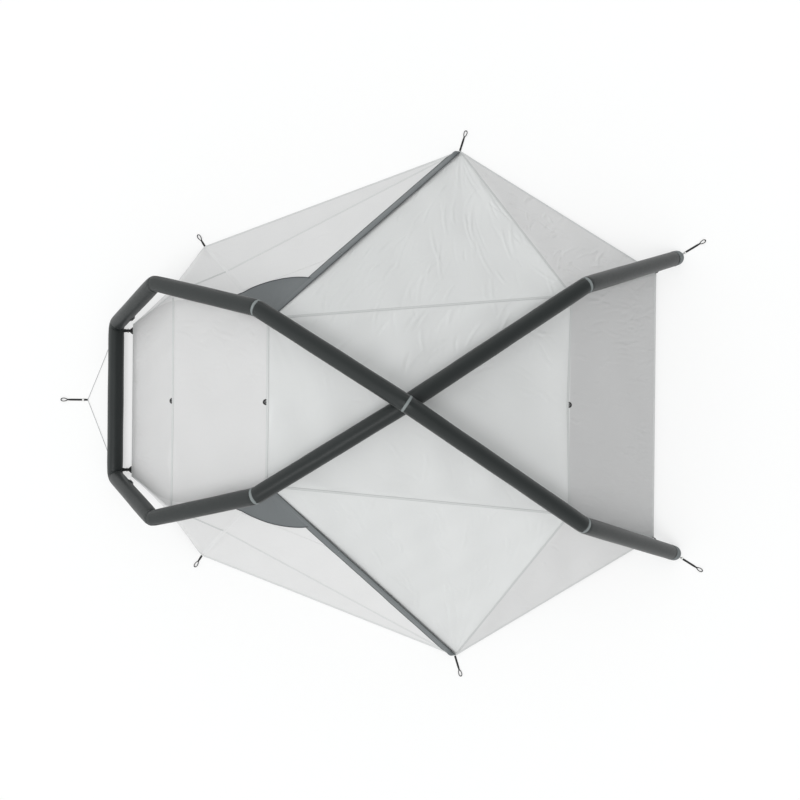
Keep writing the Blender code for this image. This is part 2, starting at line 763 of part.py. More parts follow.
def build_zip(side):
    """The zip chain on the canopy's edge, its slider and the slider's pull tab."""
    name = SIDE_NAMES[side]
    place = zip_frame(side)
    maker = bmesh.new()
    low = Vector((ZIP_END_GAP, ZIP_EDGE_GAP, ZIP_PROUD - ZIP_THICKNESS))
    high = Vector((zip_length() - ZIP_END_GAP, ZIP_EDGE_GAP + ZIP_WIDTH, ZIP_PROUD))
    box_between(maker, low, high, place)
    bmesh.ops.recalc_face_normals(maker, faces=maker.faces)
    add_bmesh("zip_chain_" + name, maker, "zip_coil")
    middle = ZIP_EDGE_GAP + ZIP_WIDTH / 2.0
    seat = ZIP_PROUD + SEAT_GAP
    maker = bmesh.new()
    low = Vector((SLIDER_REST, middle - SLIDER_WIDTH / 2.0, seat))
    high = Vector((SLIDER_REST + SLIDER_LENGTH, middle + SLIDER_WIDTH / 2.0, seat + SLIDER_HEIGHT))
    box_between(maker, low, high, place)
    bmesh.ops.bevel(
        maker,
        geom=maker.edges[:],
        offset=SLIDER_HEIGHT / 4.0,
        segments=1,
        affect="EDGES",
    )
    bmesh.ops.recalc_face_normals(maker, faces=maker.faces)
    slider = add_bmesh("zip_slider_" + name, maker, "zip_metal")
    set_origin(slider, place @ Vector((SLIDER_REST, middle, seat)))
    maker = bmesh.new()
    pivot_out = seat + SLIDER_HEIGHT / 2.0
    low = Vector((SLIDER_REST - SEAT_GAP - PULL_TAB_LENGTH, middle - PULL_TAB_WIDTH / 2.0, pivot_out))
    high = Vector((SLIDER_REST - SEAT_GAP, middle + PULL_TAB_WIDTH / 2.0, pivot_out))
    low.z -= PULL_TAB_THICKNESS
    box_between(maker, low, high, place)
    bmesh.ops.recalc_face_normals(maker, faces=maker.faces)
    tab = add_bmesh("zip_pull_" + name, maker, "zip_metal")
    set_origin(tab, place @ Vector((SLIDER_REST - SEAT_GAP, middle, pivot_out)))


def hood_ray(turn):
    """Direction on the fly and out of it, at a turn from the zip line to the ridge at the shoulder."""
    shoulder = FLY["shoulder"]
    zip_line = (FLY["side"] - shoulder).normalized()
    hinge_line = (FLY["rear"] - shoulder).normalized()
    ridge = (FLY["foot_seam"] - shoulder).normalized()
    over_door = zip_line.angle(hinge_line)
    if turn < over_door:
        first, second, share = zip_line, hinge_line, turn
    else:
        first, second, share = hinge_line, ridge, turn - over_door
    out = first.cross(second).normalized()
    if out.z < 0.0:
        out = -out
    ahead = second - first * second.dot(first)
    return first * math.cos(share) + ahead.normalized() * math.sin(share), out


def build_vent_hood(side):
    """A fan shaped hood over the door's upper end, sewn down along the zip and the ridge."""
    shoulder = FLY["shoulder"]
    zip_line = FLY["side"] - shoulder
    hinge_line = FLY["rear"] - shoulder
    whole = zip_line.angle(hinge_line) + hinge_line.angle(FLY["foot_seam"] - shoulder)
    maker = bmesh.new()
    rows = []
    for row in range(HOOD_ROWS + 1):
        reach = HOOD_APEX + (HOOD_REACH - HOOD_APEX) * row / HOOD_ROWS
        line = []
        for step in range(HOOD_STEPS + 1):
            share = step / HOOD_STEPS
            along, out = hood_ray(whole * HOOD_SPREAD_SHARE * share)
            rise = (reach / HOOD_REACH) ** HOOD_RISE_POWER * math.sin(math.pi * share)
            point = shoulder + along * reach + out * (HOOD_SEAT + HOOD_LIFT * rise)
            line.append(maker.verts.new(flip_side(point, side)))
        rows.append(line)
    for near, far in zip(rows, rows[1:]):
        for step in range(HOOD_STEPS):
            maker.faces.new((near[step], near[step + 1], far[step + 1], far[step]))
    bmesh.ops.recalc_face_normals(maker, faces=maker.faces)
    if sum(face.normal.z * face.calc_area() for face in maker.faces) < 0.0:
        bmesh.ops.reverse_faces(maker, faces=maker.faces)
    hood = add_bmesh("vent_hood_" + SIDE_NAMES[side], maker, "dark_trim", smooth=True)
    thicken(hood, FABRIC)


def build_fly():
    cloth("fly_canopy", FLY, FLY_PANELS, "fly_cloth", mirrored=True)
    for side in (LEFT, RIGHT):
        build_fly_door(side)
        build_vent_hood(side)


def floor_point(x):
    """A point of the inner tent's side hem at a place along the floor."""
    low = Vector((INNER_FOOT_X, INNER_FOOT_HALF_WIDTH, INNER_BASE))
    high = Vector((INNER_HEAD_X, INNER_HEAD_HALF_WIDTH, INNER_BASE))
    return low.lerp(high, (x - low.x) / (high.x - low.x))


def inner_wall(along, up):
    """A point of the inner side wall between shoulder and knee, as shares along it and up it."""
    low = floor_point(INNER_SHOULDER.x).lerp(floor_point(INNER_KNEE.x), along)
    return low.lerp(INNER_SHOULDER.lerp(INNER_KNEE, along), up)


INNER_BASE = GROUNDSHEET_THICKNESS + SEAT_GAP + FABRIC
INNER_FOOT_TOP = FLY_FOOT_SEAM + Vector(INNER_UNDER_FOOT_SEAM)
INNER_SHOULDER = FLY_SHOULDER + Vector(INNER_UNDER_SHOULDER)
INNER_KNEE = FLY_KNEE + Vector(INNER_UNDER_KNEE)
INNER_PEAK_HEIGHT = FLY_PEAK_HEIGHT - INNER_PEAK_DROP
INNER_PANELS = [
    ("foot_low", "shoulder_low", "shoulder", "foot_top"),
    ("shoulder_low", "start_low", "start_sill", "start_lintel", "start_high", "shoulder"),
    ("start_low", "end_low", "end_sill", "start_sill"),
    ("start_lintel", "end_lintel", "end_high", "start_high"),
    ("end_low", "knee_low", "knee", "end_high", "end_lintel", "end_sill"),
    ("knee_low", "head_low", "knee"),
    ("foot_low_middle", "foot_low", "foot_top", "foot_top_middle"),
    ("foot_top_middle", "foot_top", "shoulder", "shoulder_middle"),
    ("shoulder_middle", "shoulder", "peak"),
    ("shoulder", "start_high", "peak"),
    ("start_high", "end_high", "peak"),
    ("end_high", "knee", "peak"),
    ("peak", "knee", "knee_middle"),
    ("knee_middle", "knee", "head_low", "head_low_middle"),
]


def inner_points():
    points = {
        "foot_low": floor_point(INNER_FOOT_X),
        "foot_top": INNER_FOOT_TOP,
        "shoulder_low": inner_wall(0.0, 0.0),
        "shoulder": INNER_SHOULDER,
        "knee_low": inner_wall(1.0, 0.0),
        "knee": INNER_KNEE,
        "head_low": floor_point(INNER_HEAD_X),
        "peak": Vector((CROSSING_X, 0.0, INNER_PEAK_HEIGHT)),
    }
    for key in ("foot_low", "foot_top", "shoulder", "knee", "head_low"):
        points[key + "_middle"] = Vector((points[key].x, 0.0, points[key].z))
    for key, along in (("start", INNER_DOOR_START_SHARE), ("end", INNER_DOOR_END_SHARE)):
        points[key + "_low"] = inner_wall(along, 0.0)
        points[key + "_sill"] = inner_wall(along, INNER_DOOR_SILL_SHARE)
        points[key + "_lintel"] = inner_wall(along, INNER_DOOR_TOP_SHARE)
        points[key + "_high"] = inner_wall(along, 1.0)
    return points


def build_groundsheet():
    """The floor, whose flat underside lies on the ground."""
    foot = (INNER_FOOT_X - INNER_MARGIN, INNER_FOOT_HALF_WIDTH + INNER_MARGIN)
    head = (INNER_HEAD_X + INNER_MARGIN, INNER_HEAD_HALF_WIDTH + INNER_MARGIN)
    outline = [foot, head, (head[0], -head[1]), (foot[0], -foot[1])]
    sheet = bpy.data.curves.new("groundsheet", "CURVE")
    sheet.dimensions = "2D"
    sheet.fill_mode = "BOTH"
    sheet.extrude = GROUNDSHEET_THICKNESS / 2.0
    spline = sheet.splines.new("POLY")
    spline.points.add(len(outline) - 1)
    for spot, corner in zip(spline.points, outline):
        spot.co = (*corner, 0.0, 1.0)
    spline.use_cyclic_u = True
    floor = add_object("groundsheet", sheet, "floor_cloth")
    floor.location = UP * GROUNDSHEET_THICKNESS / 2.0


def build_inner_tent():
    """The inner tent, hung from the fly's peak by a webbing tab, and its side doors."""
    points = inner_points()
    canopy = cloth("inner_canopy", points, INNER_PANELS, "inner_mesh", mirrored=True)
    tab = hanging_strap(points["peak"].x, 0.0, points["peak"].z - FABRIC / 2.0, ["fly_canopy"])
    cut(canopy, add_cutter("peak_tab", tab), "UNION")
    length = (points["end_sill"] - points["start_sill"]).length
    height = (points["start_lintel"] - points["start_sill"]).length
    beside = INNER_DOOR_GAP / length * (INNER_DOOR_END_SHARE - INNER_DOOR_START_SHARE)
    above = INNER_DOOR_GAP / height * (INNER_DOOR_TOP_SHARE - INNER_DOOR_SILL_SHARE)
    over_hinge = above * INNER_DOOR_HINGE_GAP / INNER_DOOR_GAP
    start = INNER_DOOR_START_SHARE + beside
    end = INNER_DOOR_END_SHARE - beside
    sill = INNER_DOOR_SILL_SHARE + over_hinge
    lintel = INNER_DOOR_TOP_SHARE - above
    corners = {
        "start_sill": inner_wall(start, sill),
        "end_sill": inner_wall(end, sill),
        "end_lintel": inner_wall(end, lintel),
        "start_lintel": inner_wall(start, lintel),
    }
    for side in (LEFT, RIGHT):
        panel = {key: flip_side(point, side) for key, point in corners.items()}
        door = cloth("inner_door_" + SIDE_NAMES[side], panel, [tuple(panel)], "inner_mesh")
        set_origin(door, flip_side(points["start_sill"], side))


def surface_of(names):
    """Search trees of the finished surfaces of some pieces."""
    graph = bpy.context.evaluated_depsgraph_get()
    graph.update()
    return [BVHTree.FromObject(bpy.data.objects[name], graph) for name in names]


def first_height(trees, x, y, start, direction):
    """Height of the first surface met from a start height, straight up or down."""
    hits = [tree.ray_cast(Vector((x, y, start)), UP * direction)[0] for tree in trees]
    heights = [hit.z for hit in hits if hit is not None]
    return min(heights) if direction > 0.0 else max(heights)


def hanging_strap(x, y, low, above, below=None, heading=0.0):
    """A short upright strap whose ends stop just short of what is above and below it."""
    across = Vector((math.cos(heading), math.sin(heading), 0.0)) * HANGER_WIDTH / 2.0
    through = UP.cross(across).normalized() * STRAP_THICKNESS / 2.0
    shares = (-1.0, 0.0, 1.0)
    feet = [across * side + through * face for side in shares for face in shares]
    if below is not None:
        trees = surface_of(below)
        high = TUBE_RADIUS + low
        low = max(first_height(trees, x + f.x, y + f.y, high, -1.0) for f in feet) + SEAT_GAP
    trees = surface_of(above)
    start = low + SEAT_GAP
    top = min(first_height(trees, x + f.x, y + f.y, start, 1.0) for f in feet) - SEAT_GAP
    maker = bmesh.new()
    place = frame_matrix(Vector((x, y, 0.0)), across, UP)
    half_width = HANGER_WIDTH / 2.0
    half_depth = STRAP_THICKNESS / 2.0
    box_between(maker, Vector((-half_width, -half_depth, low)), Vector((half_width, half_depth, top)), place)
    return maker


def build_hangers():
    """Webbing tabs that carry the fly under the beam."""
    joints = {
        "foot_hanger": (FLY_FOOT_SEAM, SHOULDER - ELBOW, "foot_beam_sleeve_"),
        "shoulder_hanger": (FLY_SHOULDER, CROSSING_UPPER - SHOULDER, "shoulder_beam_sleeve_"),
        "knee_hanger": (FLY_KNEE, CROSSING_UPPER - KNEE, "head_beam_sleeve_"),
    }
    for side in (LEFT, RIGHT):
        for name, (point, line, sleeve) in joints.items():
            heading = math.atan2(line.y * side, line.x)
            strap = hanging_strap(
                point.x,
                point.y * side,
                point.z,
                [sleeve + SIDE_NAMES[side]],
                ["fly_canopy"],
                heading,
            )
            add_bmesh(name + "_" + SIDE_NAMES[side], strap, "webbing")
    sleeves = ["shoulder_beam_sleeve_right", "head_beam_sleeve_left"]
    strap = hanging_strap(CROSSING_X, 0.0, FLY_PEAK_HEIGHT, sleeves, ["fly_canopy"])
    add_bmesh("crossing_hanger", strap, "webbing")


def strap_to_beam(name, start, beam_start, beam_end, width):
    """A flat strap from a point of the fly's hem to the nearest side of a beam."""
    line = (beam_end - beam_start).normalized()
    seat = beam_start + line * (start - beam_start).dot(line)
    reach = seat - start
    place = frame_matrix(start, reach, reach.cross(line))
    low = Vector((2.0 * SEAT_GAP, -width / 2.0, -STRAP_THICKNESS / 2.0))
    high = Vector((reach.length - TUBE_RADIUS - SEAT_GAP, width / 2.0, STRAP_THICKNESS / 2.0))
    maker = bmesh.new()
    box_between(maker, low, high, place)
    add_bmesh(name, maker, "webbing")


def build_corner_straps():
    for side in (LEFT, RIGHT):
        name = SIDE_NAMES[side]
        corner = flip_side(FLY["head_corner"], side)
        knee = flip_side(KNEE, side)
        foot = flip_side(FOOT, side)
        strap_to_beam("head_corner_strap_" + name, corner, knee, foot, CORNER_STRAP_WIDTH)
        hem = flip_side(FLY["foot_corner"], side) - Vector((0.0, FOOT_STRAP_INSET * side, 0.0))
        end = flip_side(BAR_END, side)
        other = flip_side(BAR_END, -side)
        strap_to_beam("foot_corner_strap_" + name, hem, other, end, FOOT_STRAP_WIDTH)


def oval(half_length, half_width, middle):
    turns = [2.0 * math.pi * step / LOOP_SIDES for step in range(LOOP_SIDES)]
    return [(middle + half_length * math.cos(turn), half_width * math.sin(turn)) for turn in turns]


def loop_ring(middle, low):
    """The open loop at a strap's end, standing on its edge."""
    ring = bpy.data.curves.new("loop_ring", "CURVE")
    ring.dimensions = "2D"
    ring.fill_mode = "BOTH"
    ring.extrude = LOOP_HEIGHT / 2.0
    for inset in (0.0, LOOP_WALL):
        outline = oval(LOOP_LENGTH / 2.0 - inset, LOOP_WIDTH / 2.0 - inset, middle)
        spline = ring.splines.new("POLY")
        spline.points.add(len(outline) - 1)
        for spot, corner in zip(spline.points, outline):
            spot.co = (*corner, 0.0, 1.0)
        spline.use_cyclic_u = True
    guide = bpy.data.objects.new("loop_guide", ring)
    CUTTERS.objects.link(guide)
    mesh = mesh_of(guide)
    bpy.data.objects.remove(guide)
    mesh.transform(Matrix.Translation(UP * (low + LOOP_HEIGHT / 2.0)))
    return mesh


def loop_mesh(strap_length, height, lead_length=0.0):
    """A peg loop's mesh with its hinge at the origin, lying on the ground along +X."""
    start = lead_length
    end = start + strap_length
    maker = bmesh.new()
    low = Vector((start, -STRAP_WIDTH / 2.0, -height))
    high = Vector((end, STRAP_WIDTH / 2.0, STRAP_THICKNESS - height))
    box_between(maker, low, high)
    base = add_cutter("loop_strap", maker)
    ring = loop_ring(end - LOOP_BITE + LOOP_LENGTH / 2.0, -height)
    helpers = [bpy.data.objects.new("loop_end", ring)]
    CUTTERS.objects.link(helpers[0])
    if lead_length > 0.0:
        maker = bmesh.new()
        low = Vector((start - KEEPER_LENGTH / 2.0, -KEEPER_WIDTH / 2.0, -height))
        high = Vector((start + KEEPER_LENGTH / 2.0, KEEPER_WIDTH / 2.0, KEEPER_HEIGHT - height))
        box_between(maker, low, high)
        helpers.append(add_cutter("loop_keeper", maker))
        maker = bmesh.new()
        tip = Vector((start, 0.0, KEEPER_HEIGHT / 2.0 - height))
        bmesh.ops.create_cone(
            maker,
            cap_ends=True,
            segments=LEAD_SIDES,
            radius1=LEAD_RADIUS,
            radius2=LEAD_RADIUS,
            depth=tip.length,
            matrix=frame_matrix(tip / 2.0, UP.cross(tip), tip),
        )
        helpers.append(add_cutter("loop_lead", maker))
        maker = bmesh.new()
        bmesh.ops.create_uvsphere(
            maker, u_segments=KNOT_SIDES, v_segments=KNOT_SIDES // 2, radius=KNOT_RADIUS
        )
        helpers.append(add_cutter("loop_knot", maker))
    for helper in helpers:
        cut(base, helper, "UNION")
    mesh = mesh_of(base)
    for helper in [base] + helpers:
        bpy.data.objects.remove(helper)
    return mesh


def place_loop(name, mesh, hinge, heading):
    loop = add_object(name, mesh.copy(), "webbing")
    loop.matrix_world = Matrix.Translation(hinge) @ Matrix.Rotation(heading, 4, "Z")


def build_peg_loops():
    """Webbing loops for pegs at the fly's hem, the feet and the tail."""
    side_mesh = loop_mesh(SIDE_LOOP_STRAP, STRAP_THICKNESS)
    rear_mesh = loop_mesh(REAR_LOOP_STRAP, STRAP_THICKNESS)
    foot_mesh = loop_mesh(FOOT_LOOP_STRAP, FOOT_LOOP_HEIGHT, FOOT_LOOP_LEAD)
    tail_mesh = loop_mesh(TAIL_LOOP_STRAP, STRAP_THICKNESS)
    drop = FOOT.z - FOOT_LOOP_HEIGHT
    reach = math.sqrt((FOOT_RADIUS + KNOT_RADIUS + SEAT_GAP) ** 2 - drop ** 2)
    sites = {
        "side_peg_loop": (side_mesh, FLY["side"], STRAP_THICKNESS, SEAT_GAP, SIDE_LOOP_HEADING),
        "rear_peg_loop": (rear_mesh, FLY["rear"], STRAP_THICKNESS, SEAT_GAP, REAR_LOOP_HEADING),
        "foot_peg_loop": (foot_mesh, FOOT, FOOT_LOOP_HEIGHT, reach, FOOT_LOOP_HEADING),
    }
    for side in (LEFT, RIGHT):
        for name, (mesh, corner, height, reach, heading) in sites.items():
            hinge = Vector((corner.x, corner.y, height))
            hinge += Vector((math.cos(heading), math.sin(heading), 0.0)) * reach
            place_loop(name + "_" + SIDE_NAMES[side], mesh, flip_side(hinge, side), heading * side)
    tail = Vector((GUY_APEX_X - GUY_RADIUS - SEAT_GAP, 0.0, STRAP_THICKNESS))
    place_loop("tail_peg_loop", tail_mesh, tail, math.pi)


# The guy line's route, from the left end of the foot bar round the tail loop to the right end
GUY_ROUTE = [
    (-1.7088, 0.3760, 0.0120),
    (-1.7215, 0.3440, 0.0058),
    (-1.7420, 0.2930, 0.0022),
    (-1.7720, 0.2160, 0.0018),
    (-1.8140, 0.1100, 0.0018),
    (-1.8510, 0.0170, 0.0018),
    (-1.8570, 0.0000, 0.0018),
    (-1.8510, -0.0170, 0.0018),
    (-1.8140, -0.1100, 0.0018),
    (-1.7720, -0.2160, 0.0018),
    (-1.7420, -0.2930, 0.0022),
    (-1.7215, -0.3440, 0.0058),
    (-1.7088, -0.3760, 0.0120),
]


def smooth_route(route, count):
    """Evenly shared points on a smooth curve through a cord's route."""
    spots = [Vector(point) for point in route]
    spots = [2.0 * spots[0] - spots[1]] + spots + [2.0 * spots[-1] - spots[-2]]
    spans = len(route) - 1
    points = []
    for step in range(count):
        place = spans * step / (count - 1)
        span = min(int(place), spans - 1)
        share = place - span
        before, start, end, after = spots[span:span + 4]
        bend = 2.0 * before - 5.0 * start + 4.0 * end - after
        twist = -before + 3.0 * start - 3.0 * end + after
        point = 2.0 * start + (end - before) * share + bend * share ** 2 + twist * share ** 3
        points.append(point / 2.0)
    return points


def build_guy_line():
    line = bpy.data.curves.new("guy_line", "CURVE")
    line.dimensions = "3D"
    line.bevel_depth = GUY_RADIUS
    line.bevel_resolution = GUY_BEVEL_RESOLUTION
    line.use_fill_caps = True
    points = smooth_route(GUY_ROUTE, GUY_POINTS)
    spline = line.splines.new("POLY")
    spline.points.add(len(points) - 1)
    for spot, point in zip(spline.points, points):
        spot.co = (*point, 1.0)
    add_object("guy_line", line, "guy_cord")


clear_scene()
TENT = make_collection("inflatable_tent")
CUTTERS = make_collection("cutters")
build_beam()
build_fly()
build_groundsheet()
build_inner_tent()
build_hangers()
build_corner_straps()
build_peg_loops()
build_guy_line()
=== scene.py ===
import math
import random
import bpy
import numpy as np
from mathutils import Matrix, Vector


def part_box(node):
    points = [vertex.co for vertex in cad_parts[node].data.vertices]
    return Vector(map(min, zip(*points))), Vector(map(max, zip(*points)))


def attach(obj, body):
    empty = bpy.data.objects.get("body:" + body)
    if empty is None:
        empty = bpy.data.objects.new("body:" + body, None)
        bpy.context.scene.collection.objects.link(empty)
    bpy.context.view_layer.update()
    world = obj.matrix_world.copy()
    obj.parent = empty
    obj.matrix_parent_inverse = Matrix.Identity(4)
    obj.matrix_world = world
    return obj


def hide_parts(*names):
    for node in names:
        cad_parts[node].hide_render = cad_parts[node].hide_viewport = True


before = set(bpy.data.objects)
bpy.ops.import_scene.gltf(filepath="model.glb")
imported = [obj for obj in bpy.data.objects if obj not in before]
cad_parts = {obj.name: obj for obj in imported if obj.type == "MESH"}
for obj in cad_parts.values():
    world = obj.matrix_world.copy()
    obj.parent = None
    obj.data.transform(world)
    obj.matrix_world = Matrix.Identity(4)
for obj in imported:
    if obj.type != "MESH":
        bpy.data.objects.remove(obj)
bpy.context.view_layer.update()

dice = random.Random(11)

stage = {
    "cameraHeight": 4.63,
    "cameraShiftY": 0.0167,
    "roll": math.radians(0.556),
    "lens": 35.0,
    "sensor": 36.0,
    "floorSize": 40.0,
    "floorDrop": 0.0006,
    "floorColour": 0.40,
    "floorRough": 0.9,
    "floorGlow": 0.585,
    "skyTop": 0.60,
    "skyEdge": 0.74,
    "skyLean": 0.36,
    "skyColour": (0.982, 1.0, 0.996, 1.0),
    "sunLight": 0.74,
    "sunSize": math.radians(28),
    "sunTurn": (math.radians(20), math.radians(-9), 0.0),
}


def clearSelection():
    if bpy.context.mode != "OBJECT":
        bpy.ops.object.mode_set(mode="OBJECT")
    bpy.ops.object.select_all(action="DESELECT")


def pick(piece):
    clearSelection()
    piece.select_set(True)
    bpy.context.view_layer.objects.active = piece


def wire(tree, kind, plugs=None, **settings):
    node = tree.nodes.new("ShaderNode" + kind)
    for key, value in settings.items():
        setattr(node, key, value)
    for key, value in (plugs or {}).items():
        if isinstance(value, bpy.types.NodeSocket):
            tree.links.new(value, node.inputs[key])
        else:
            node.inputs[key].default_value = value
    return node


def calc(tree, operation, first, second=0.0):
    return wire(tree, "Math", {0: first, 1: second}, operation=operation).outputs[0]


def buildStage():
    scene = bpy.context.scene
    scene.view_settings.view_transform = "Standard"
    clearSelection()
    bpy.ops.object.camera_add(location=(0.0, stage["cameraShiftY"], stage["cameraHeight"]))
    camera = bpy.context.object
    camera.name = "stageCamera"
    camera.rotation_euler = (0.0, 0.0, stage["roll"])
    camera.data.lens = stage["lens"]
    camera.data.sensor_width = stage["sensor"]
    camera.data.clip_end = 100.0
    scene.camera = camera

    # Soft studio sky: dimmer overhead, brighter round the edge and most to one side
    world = bpy.data.worlds.new("studioWorld")
    scene.world = world
    world.use_nodes = True
    tree = world.node_tree
    toward = wire(tree, "TexCoord").outputs["Generated"]
    slope = wire(tree, "VectorMath", {0: toward, 1: (-stage["skyLean"], 0.0, -stage["skyEdge"])},
                 operation="DOT_PRODUCT")
    glow = calc(tree, "ADD", slope.outputs["Value"], stage["skyTop"] + stage["skyEdge"])
    tree.nodes["Background"].inputs["Color"].default_value = stage["skyColour"]
    tree.links.new(glow, tree.nodes["Background"].inputs["Strength"])

    bpy.ops.mesh.primitive_plane_add(size=stage["floorSize"], location=(0, 0, -stage["floorDrop"]))
    floor = bpy.context.object
    floor.name = "studioFloor"
    paper = bpy.data.materials.new("studioPaper")
    paper.use_nodes = True
    tree = paper.node_tree
    shader = tree.nodes["Principled BSDF"]
    shader.inputs["Base Color"].default_value = (*[stage["floorColour"]] * 3, 1)
    shader.inputs["Roughness"].default_value = stage["floorRough"]
    shader.inputs["Specular IOR Level"].default_value = 0.0
    shader.inputs["Emission Color"].default_value = (1, 1, 1, 1)
    rays = wire(tree, "LightPath")
    shown = calc(tree, "MAXIMUM", rays.outputs["Is Camera Ray"], rays.outputs["Is Glossy Ray"])
    tree.links.new(calc(tree, "MULTIPLY", shown, stage["floorGlow"]), shader.inputs["Emission Strength"])
    floor.data.materials.append(paper)

    clearSelection()
    bpy.ops.object.light_add(type="SUN", location=(-3, -2, 5), rotation=stage["sunTurn"])
    sun = bpy.context.object
    sun.name = "softSun"
    sun.data.energy = stage["sunLight"]
    sun.data.angle = stage["sunSize"]
    print("stage ready")


# Finishes. Cloth reads the piece's UV map, which is in metres

finishes = {
    "beamCloth": {"colour": (0.0105, 0.0140, 0.0140), "rough": 0.42, "gloss": 0.36, "swing": 0.16,
                  "thread": 0.0011, "threadDepth": 0.00003, "creaseDepth": 0.0006, "creaseScale": 34.0,
                  "sheen": 0.08},
    "beamWelt": {"colour": (0.007, 0.009, 0.009), "rough": 0.60, "swing": 0.20, "thread": 0.0009,
                 "threadDepth": 0.00004, "stitchAt": 0.0, "stitchColour": (0.05, 0.06, 0.06)},
    "seamTape": {"colour": (0.215, 0.238, 0.240), "rough": 0.55, "swing": 0.14, "thread": 0.0008,
                 "threadDepth": 0.00004, "stitchAt": 0.0042, "stitchColour": (0.10, 0.115, 0.115)},
    "capRipstop": {"colour": (0.120, 0.136, 0.140), "rough": 0.52, "swing": 0.16, "thread": 0.0010,
                   "threadDepth": 0.00003, "grid": 0.0055, "creaseDepth": 0.0005, "creaseScale": 60.0},
    "flyCloth": {"colour": (0.695, 0.700, 0.699), "rough": 0.50, "swing": 0.035, "thread": 0.0010,
                 "threadDepth": 0.000012, "grid": 0.006, "creaseDepth": 0.0007, "creaseScale": 20.0,
                 "sheen": 0.05},
    "flySeam": {"colour": (0.598, 0.606, 0.604), "rough": 0.55, "swing": 0.04, "thread": 0.0010,
                "threadDepth": 0.00002, "stitchAt": 0.0042, "stitchColour": (0.42, 0.43, 0.43)},
    "darkTrim": {"colour": (0.114, 0.127, 0.133), "rough": 0.55, "swing": 0.10, "thread": 0.0010,
                 "threadDepth": 0.00003, "creaseDepth": 0.0004, "creaseScale": 40.0, "sheen": 0.15},
    "trimBinding": {"colour": (0.045, 0.052, 0.055), "rough": 0.60, "swing": 0.12, "thread": 0.0008,
                    "threadDepth": 0.00004, "stitchAt": 0.0, "stitchColour": (0.09, 0.10, 0.10)},
    "innerCloth": {"colour": (0.66, 0.67, 0.65), "rough": 0.75, "swing": 0.05, "thread": 0.0014,
                   "threadDepth": 0.00005, "grid": 0.004, "creaseDepth": 0.0008, "creaseScale": 14.0},
    "innerMesh": {"colour": (0.075, 0.080, 0.082), "rough": 0.80, "swing": 0.10, "thread": 0.0018,
                  "threadDepth": 0.00008, "grid": 0.0022},
    "floorCloth": {"colour": (0.090, 0.098, 0.106), "rough": 0.42, "swing": 0.10, "thread": 0.0009,
                   "threadDepth": 0.00002, "creaseDepth": 0.0008, "creaseScale": 12.0},
    "webbing": {"colour": (0.013, 0.013, 0.014), "rough": 0.78, "swing": 0.25, "rib": 0.0015,
                "threadDepth": 0.00016, "stitchAt": 0.0048, "stitchColour": (0.045, 0.045, 0.047)},
    "keeperWeb": {"colour": (0.78, 0.78, 0.77), "rough": 0.70, "swing": 0.05, "rib": 0.0012,
                  "threadDepth": 0.00010},
    "guyCord": {"colour": (0.55, 0.57, 0.57), "rough": 0.70, "swing": 0.12, "braid": 0.0030,
                "threadDepth": 0.00022},
    "bladderFilm": {"colour": (0.60, 0.64, 0.60), "rough": 0.28, "swing": 0.04, "creaseDepth": 0.0007,
                    "creaseScale": 30.0},
    "blackPlastic": {"colour": (0.017, 0.017, 0.018), "rough": 0.36, "swing": 0.18, "creaseDepth": 0.00006,
                     "creaseScale": 900.0},
    "zipTape": {"colour": (0.032, 0.034, 0.036), "rough": 0.80, "swing": 0.15, "thread": 0.0008,
                "threadDepth": 0.00006},
    "zipMetal": {"colour": (0.42, 0.43, 0.44), "rough": 0.34, "swing": 0.10, "metal": 0.9,
                 "creaseDepth": 0.00003, "creaseScale": 700.0},
}
# Lit and shaded copies of the fly cloth: painted light on the rear sides, door tops, head sides and doors,
# painted shade on the foot roof and end, deeper painted shade on the head end
for name, colour in (("flyClothPaintedLight", (0.742, 0.736, 0.738)), ("flyClothPaintedShade", (0.640, 0.634, 0.636)),
                     ("flyClothPaintedDeepShade", (0.590, 0.586, 0.589))):
    finishes[name] = {**finishes["flyCloth"], "colour": colour}
finishes["flyHem"] = {**finishes["flySeam"], "colour": (0.680, 0.685, 0.684),
                      "stitchColour": (0.52, 0.53, 0.53)}

surface = {"patchScale": 3.1, "speckScale": 95.0, "patchShare": 0.7, "speckShare": 0.3, "roughSwing": 0.07,
           "weaveHollowShade": 0.03, "braidWidth": 0.0016, "braidGrooveShade": 0.6, "gridLine": 0.12, "gridDark": 0.94,
           "stitchHalf": 0.00055, "stitchPitch": 0.0036, "stitchLong": 0.68, "stitchDepth": 0.0003,
           "bump": 0.9}


def mixed(tree, share, first, second):
    return wire(tree, "Mix", {0: share, 6: first, 7: second}, data_type="RGBA").outputs[2]


def stripes(tree, along, pitch, share):
    return calc(tree, "LESS_THAN", calc(tree, "FRACT", calc(tree, "DIVIDE", along, pitch)), share)


def stitches(tree, across, along, place):
    # Thread dashes in one or two rows, at a distance from the strip's middle
    fromRow = calc(tree, "ABSOLUTE", calc(tree, "SUBTRACT", calc(tree, "ABSOLUTE", across), place))
    onRow = calc(tree, "LESS_THAN", fromRow, surface["stitchHalf"])
    dash = stripes(tree, along, surface["stitchPitch"], surface["stitchLong"])
    return calc(tree, "MULTIPLY", onRow, dash)


